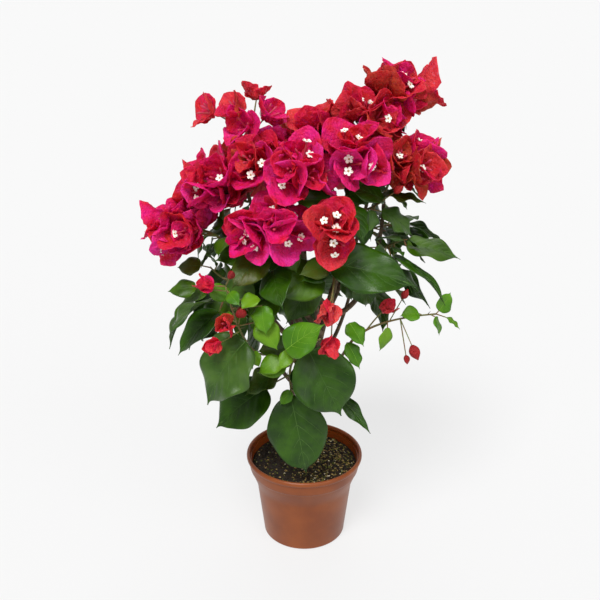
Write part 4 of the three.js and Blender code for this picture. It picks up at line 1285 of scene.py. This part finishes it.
def make_foliage(pieces, masses):
    """Each leaf, head and bud, in the piece of its colour"""
    dice = random.Random("foliage")
    for name, mass in masses.items():
        is_young = mass["colours"] in ("young", "coral")
        for part in mass["pieces"]:
            if part["kind"] == "leaf":
                add_leaf(pieces, leaf_colour(name, part["length"], dice), part, dice)
            elif part["kind"] == "head":
                colour = dice.choice(HEAD_MIXES[mass["colours"]])
                if part["axis"][1] > 0.1 and dice.random() < 0.5:
                    colour = dice.choice(BACK_COLOURS)
                is_flowering = not is_young and part["length"] > FLOWERING_LENGTH
                flowers = dice.choice(OPEN_FLOWERS) if is_flowering else 0
                if name == "top_left_spray":
                    part, flowers = turned_front(part), 0
                add_head(pieces, colour, part, dice, flowers, is_young)
            else:
                add_bud(pieces, part)


def make_bush():
    thicket = Thicket()
    limbs = grow_limbs(thicket)
    masses = grow_stems(thicket, limbs)
    put_asked(thicket, masses)
    fill_by_rule(thicket, masses)
    fill_with_small(thicket, masses)
    pieces = defaultdict(Piece)
    make_limbs(pieces, limbs, masses)
    make_foliage(pieces, masses)

    def build(name, material, slot):
        return pieces[name].build(name, material, slot)

    wood = build("limbs_bark", plain_paint("bark"), "bark")
    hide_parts(*limbs)
    build("thorns", plain_paint("thorn"), "bark")
    stem_piece = build("mass_stems", plain_paint("stem"), "leaves")
    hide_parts(*masses)
    build("twigs", plain_paint("twig"), "leaves")
    for colour, row in LEAF_COLOURS.items():
        slot = "young_leaves" if colour in PALE_LEAVES else "leaves"
        build(f"leaves_{colour}", leaf_paint(f"leaf_{colour}", *row), slot)
    build("leaf_veins", leaf_paint("leaf_vein", *LEAF_VEIN), "leaves")
    build("young_veins", leaf_paint("young_vein", *YOUNG_VEIN), "young_leaves")
    for colour, pair in BRACT_COLOURS.items():
        build(f"bracts_{colour}", bract_paint(f"bract_{colour}", pair), "bracts")
    build("bract_ribs", bract_paint("bract_rib", RIB_COLOURS), "bracts")
    build("bract_buds", bract_paint("bract_bud", BUD_COLOURS), "bracts")
    for name in ("flower_tube", "flower_star", "flower_eye"):
        build(f"{name}s", plain_paint(name), "bracts")


# The pot
def pot_radius(height):
    flare = 1.6 * (height - COLLAR_FOOT) / (POT_HEIGHT - COLLAR_FOOT)
    wall = mix(POT_FOOT_RADIUS, WALL_TOP_RADIUS, height / COLLAR_FOOT)
    return wall + COLLAR_SWELL * float(smooth_step(0.15 + 0.85 * flare))


def pot_profile():
    """Radius and height of the pot's rings, from the middle of its foot round its wall to its floor"""
    outside = [[0.01, 0], [22, 0], [34, 0], [40, 0], [41.6, 0.5], [pot_radius(2), 1.6]]
    outside += [[pot_radius(height), height] for height in np.linspace(3, COLLAR_STEP, 34)]
    collar = np.linspace(COLLAR_STEP + 0.8, COLLAR_TOP, 10)
    outside += [[pot_radius(height) + STEP_OUT, height] for height in collar]
    lip_middle = POT_HEIGHT - 0.5 * LIP_HEIGHT
    lip = []
    for turn in np.linspace(-75, 255, 22):
        angle = math.radians(turn)
        height = lip_middle + 0.5 * LIP_HEIGHT * math.sin(angle)
        lip.append([LIP_CENTRE + LIP_REACH * math.cos(angle), height])
    wall = np.linspace(COLLAR_TOP, POT_FLOOR + 1, 30)
    inside = [[pot_radius(height) - POT_WALL, height] for height in wall]
    inside += [[radius, POT_FLOOR] for radius in (pot_radius(3) - POT_WALL - 1, 34, 22, 0.01)]
    return np.array(outside + lip + inside)


def make_pot(material):
    profile = pot_profile()
    angle = round_angles(POT_SIDES)
    radii, heights = profile[:, :1], profile[:, 1:]
    rings = [radii * np.cos(angle)[None], radii * np.sin(angle)[None], np.repeat(heights, POT_SIDES, 1)]
    points = np.concatenate([np.stack(rings, -1).reshape(-1, 3), [[0, 0, 0], [0, 0, POT_FLOOR]]])
    piece = Piece()
    piece.add(points, closed_faces(len(profile), POT_SIDES))
    pot = piece.build("pot_shell", material, "pot")
    cutters = []
    for number in range(DRAIN_HOLES):
        place = heading(60 * number + 30, 0)
        bpy.ops.mesh.primitive_cylinder_add(vertices=40, radius=DRAIN_RADIUS * MM, depth=12 * MM)
        cutter = bpy.context.object
        cutter.location = (DRAIN_CIRCLE * MM * place[0], DRAIN_CIRCLE * MM * place[1], 1.5 * MM)
        cut = pot.modifiers.new("hole", "BOOLEAN")
        cut.object, cut.operation, cut.solver = cutter, "DIFFERENCE", "EXACT"
        cutters.append(cutter)
    dress = bpy.context.evaluated_depsgraph_get()
    holed = bpy.data.meshes.new_from_object(pot.evaluated_get(dress))
    pot.modifiers.clear()
    pot.data = holed
    for cutter in cutters:
        bpy.data.objects.remove(cutter)
    for edge in pot.data.edges:
        edge.use_edge_sharp = False
    pot.data.shade_smooth()
    pot.data.set_sharp_from_angle(angle=math.radians(SHARP_ANGLE))
    return pot


# The potting mix
def soil_height(x, y):
    far = np.hypot(x, y)
    rim = np.clip((far - SOIL_FLAT) / (pot_radius(SOIL_TOP) - POT_WALL - SOIL_FLAT), 0, 1)
    bumps = 0.9 * np.sin(0.21 * x + 0.9) * np.sin(0.17 * y - 0.4)
    bumps = bumps + 0.5 * np.sin(0.63 * x + 1.1 * np.sin(0.5 * y))
    bumps += 0.35 * np.sin(1.1 * y + 0.8 * np.sin(0.9 * x)) + 0.25 * np.sin(1.9 * x + 1.3) * np.sin(2.1 * y)
    return SOIL_TOP - SOIL_DIP * rim**2 + 0.6 * bumps - 0.3


def make_bed():
    """The body of the mix, left open where the trunk and the pot's floor hide it"""
    angle = round_angles(SOIL_SIDES)
    far = np.linspace(0, 1, SOIL_RINGS)[1:, None] * (pot_radius(SOIL_TOP) - POT_WALL - BED_CLEAR)
    x, y = far * np.cos(angle)[None], far * np.sin(angle)[None]
    walls = []
    for height in BED_WALL:
        radius = pot_radius(height) - POT_WALL - BED_CLEAR
        ring = [radius * np.cos(angle), radius * np.sin(angle), np.full(SOIL_SIDES, height)]
        walls.append(np.stack(ring, -1))
    rows = np.concatenate([np.stack([x, y, soil_height(x, y)], -1), np.array(walls)])
    bed = Piece()
    bed.add(rows, grid_faces(len(rows), SOIL_SIDES, wrap=True)[:, ::-1])
    return bed.build("soil_bed", plain_paint("soil_bed"), "potting_mix")


def make_crumbs():
    """Crumbs, fibres, moss and grit that lie on the mix, fewer on its left"""
    edge = pot_radius(SOIL_TOP) - POT_WALL - BED_CLEAR
    dice = np.random.default_rng(SOIL_SEED)
    corners, sides = lump()
    for name, colours, count, sizes, flat, left_share in SOIL_KINDS:
        crumbs = Piece()
        for _ in range(count):
            far = (edge - 2) * math.sqrt(dice.uniform(0, 1))
            turn = dice.uniform(0, 2 * math.pi)
            x, y = far * math.cos(turn), far * math.sin(turn)
            if math.hypot(x - TRUNK_CURVE[0][0], y - TRUNK_CURVE[0][1]) < TRUNK_CLEAR:
                continue
            if dice.uniform(0, 1) > mix(left_share, 1, float(smooth_step((x - THIN_UP_TO) / THIN_FADE))):
                continue
            size = dice.uniform(*sizes) * np.array([1, dice.uniform(0.5, 0.9), dice.uniform(*flat)])
            shape = corners * (1 + dice.uniform(-0.22, 0.22, (len(corners), 1))) * size
            spin = np.linalg.qr(dice.normal(size=(3, 3)))[0]
            if flat[1] < LIES_FLAT:
                tilt = dice.uniform(0, 2 * math.pi)
                cosine, sine = math.cos(tilt), math.sin(tilt)
                spin = np.array([[cosine, -sine, 0], [sine, cosine, 0], [0, 0, 1]])
            if np.linalg.det(spin) < 0:
                spin[:, 0] *= -1
            height = float(soil_height(np.array([x]), np.array([y]))[0])
            crumbs.add(shape @ spin.T + [x, y, height + 0.25 * size.min()], sides)
        crumbs.build(name, plain_paint(colours), "potting_mix")


def lump():
    """Corners and faces of a round grain"""
    mesh = bmesh.new()
    bmesh.ops.create_icosphere(mesh, subdivisions=1, radius=1)
    corners = np.array([tuple(corner.co) for corner in mesh.verts])
    faces = [[corner.index for corner in face.verts] for face in mesh.faces]
    mesh.free()
    return corners, np.array([[*face, face[2]] for face in faces])


def make_ground():
    pot = make_pot(plain_paint("pot_plastic", {"Specular IOR Level": 0.4, "Subsurface Weight": 0.03}))
    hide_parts("pot")
    bed = make_bed()
    make_crumbs()
    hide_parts("potting_mix")


def lamp(name, place, angle, strength):
    """A broad soft light that is the same all over the floor, from the side where place lies"""
    light = bpy.data.lights.new(name, "SUN")
    light.energy, light.angle = strength, math.radians(angle)
    holder = bpy.data.objects.new(name, light)
    holder.rotation_euler = Vector(place).to_track_quat("Z", "Y").to_euler()
    bpy.context.scene.collection.objects.link(holder)


def make_stage():
    bpy.ops.mesh.primitive_plane_add(size=FLOOR_SIZE, location=(0, 0, 0))
    floor = bpy.context.object
    floor.name = "floor"
    material = bpy.data.materials.new("floor")
    material.use_nodes = True
    set_sockets(material.node_tree.nodes["Principled BSDF"], {
        "Base Color": (FLOOR_PALE, FLOOR_PALE, FLOOR_PALE, 1), "Emission Color": (1, 1, 1, 1),
        "Emission Strength": FLOOR_GLOW, "Roughness": 0.9, "Specular IOR Level": 0,
    })
    floor.data.materials.append(material)
    world = bpy.data.worlds.new("studio")
    world.use_nodes = True
    set_sockets(world.node_tree.nodes["Background"], {"Color": (1, 1, 1, 1), "Strength": WORLD_LIGHT})
    bpy.context.scene.world = world
    for name, place, angle, strength in LAMPS:
        lamp(name, place, angle, strength)
    bpy.context.scene.view_settings.view_transform = "Standard"


def make_camera():
    camera = bpy.data.cameras.new("camera")
    camera.lens, camera.sensor_width = CAMERA_LENS, CAMERA_SENSOR
    holder = bpy.data.objects.new("camera", camera)
    holder.location = CAMERA_PLACE
    holder.rotation_euler = (math.radians(CAMERA_TURN), 0, 0)
    bpy.context.scene.collection.objects.link(holder)
    bpy.context.scene.camera = holder


make_camera()
make_ground()
make_bush()
make_stage()
bpy.context.view_layer.update()
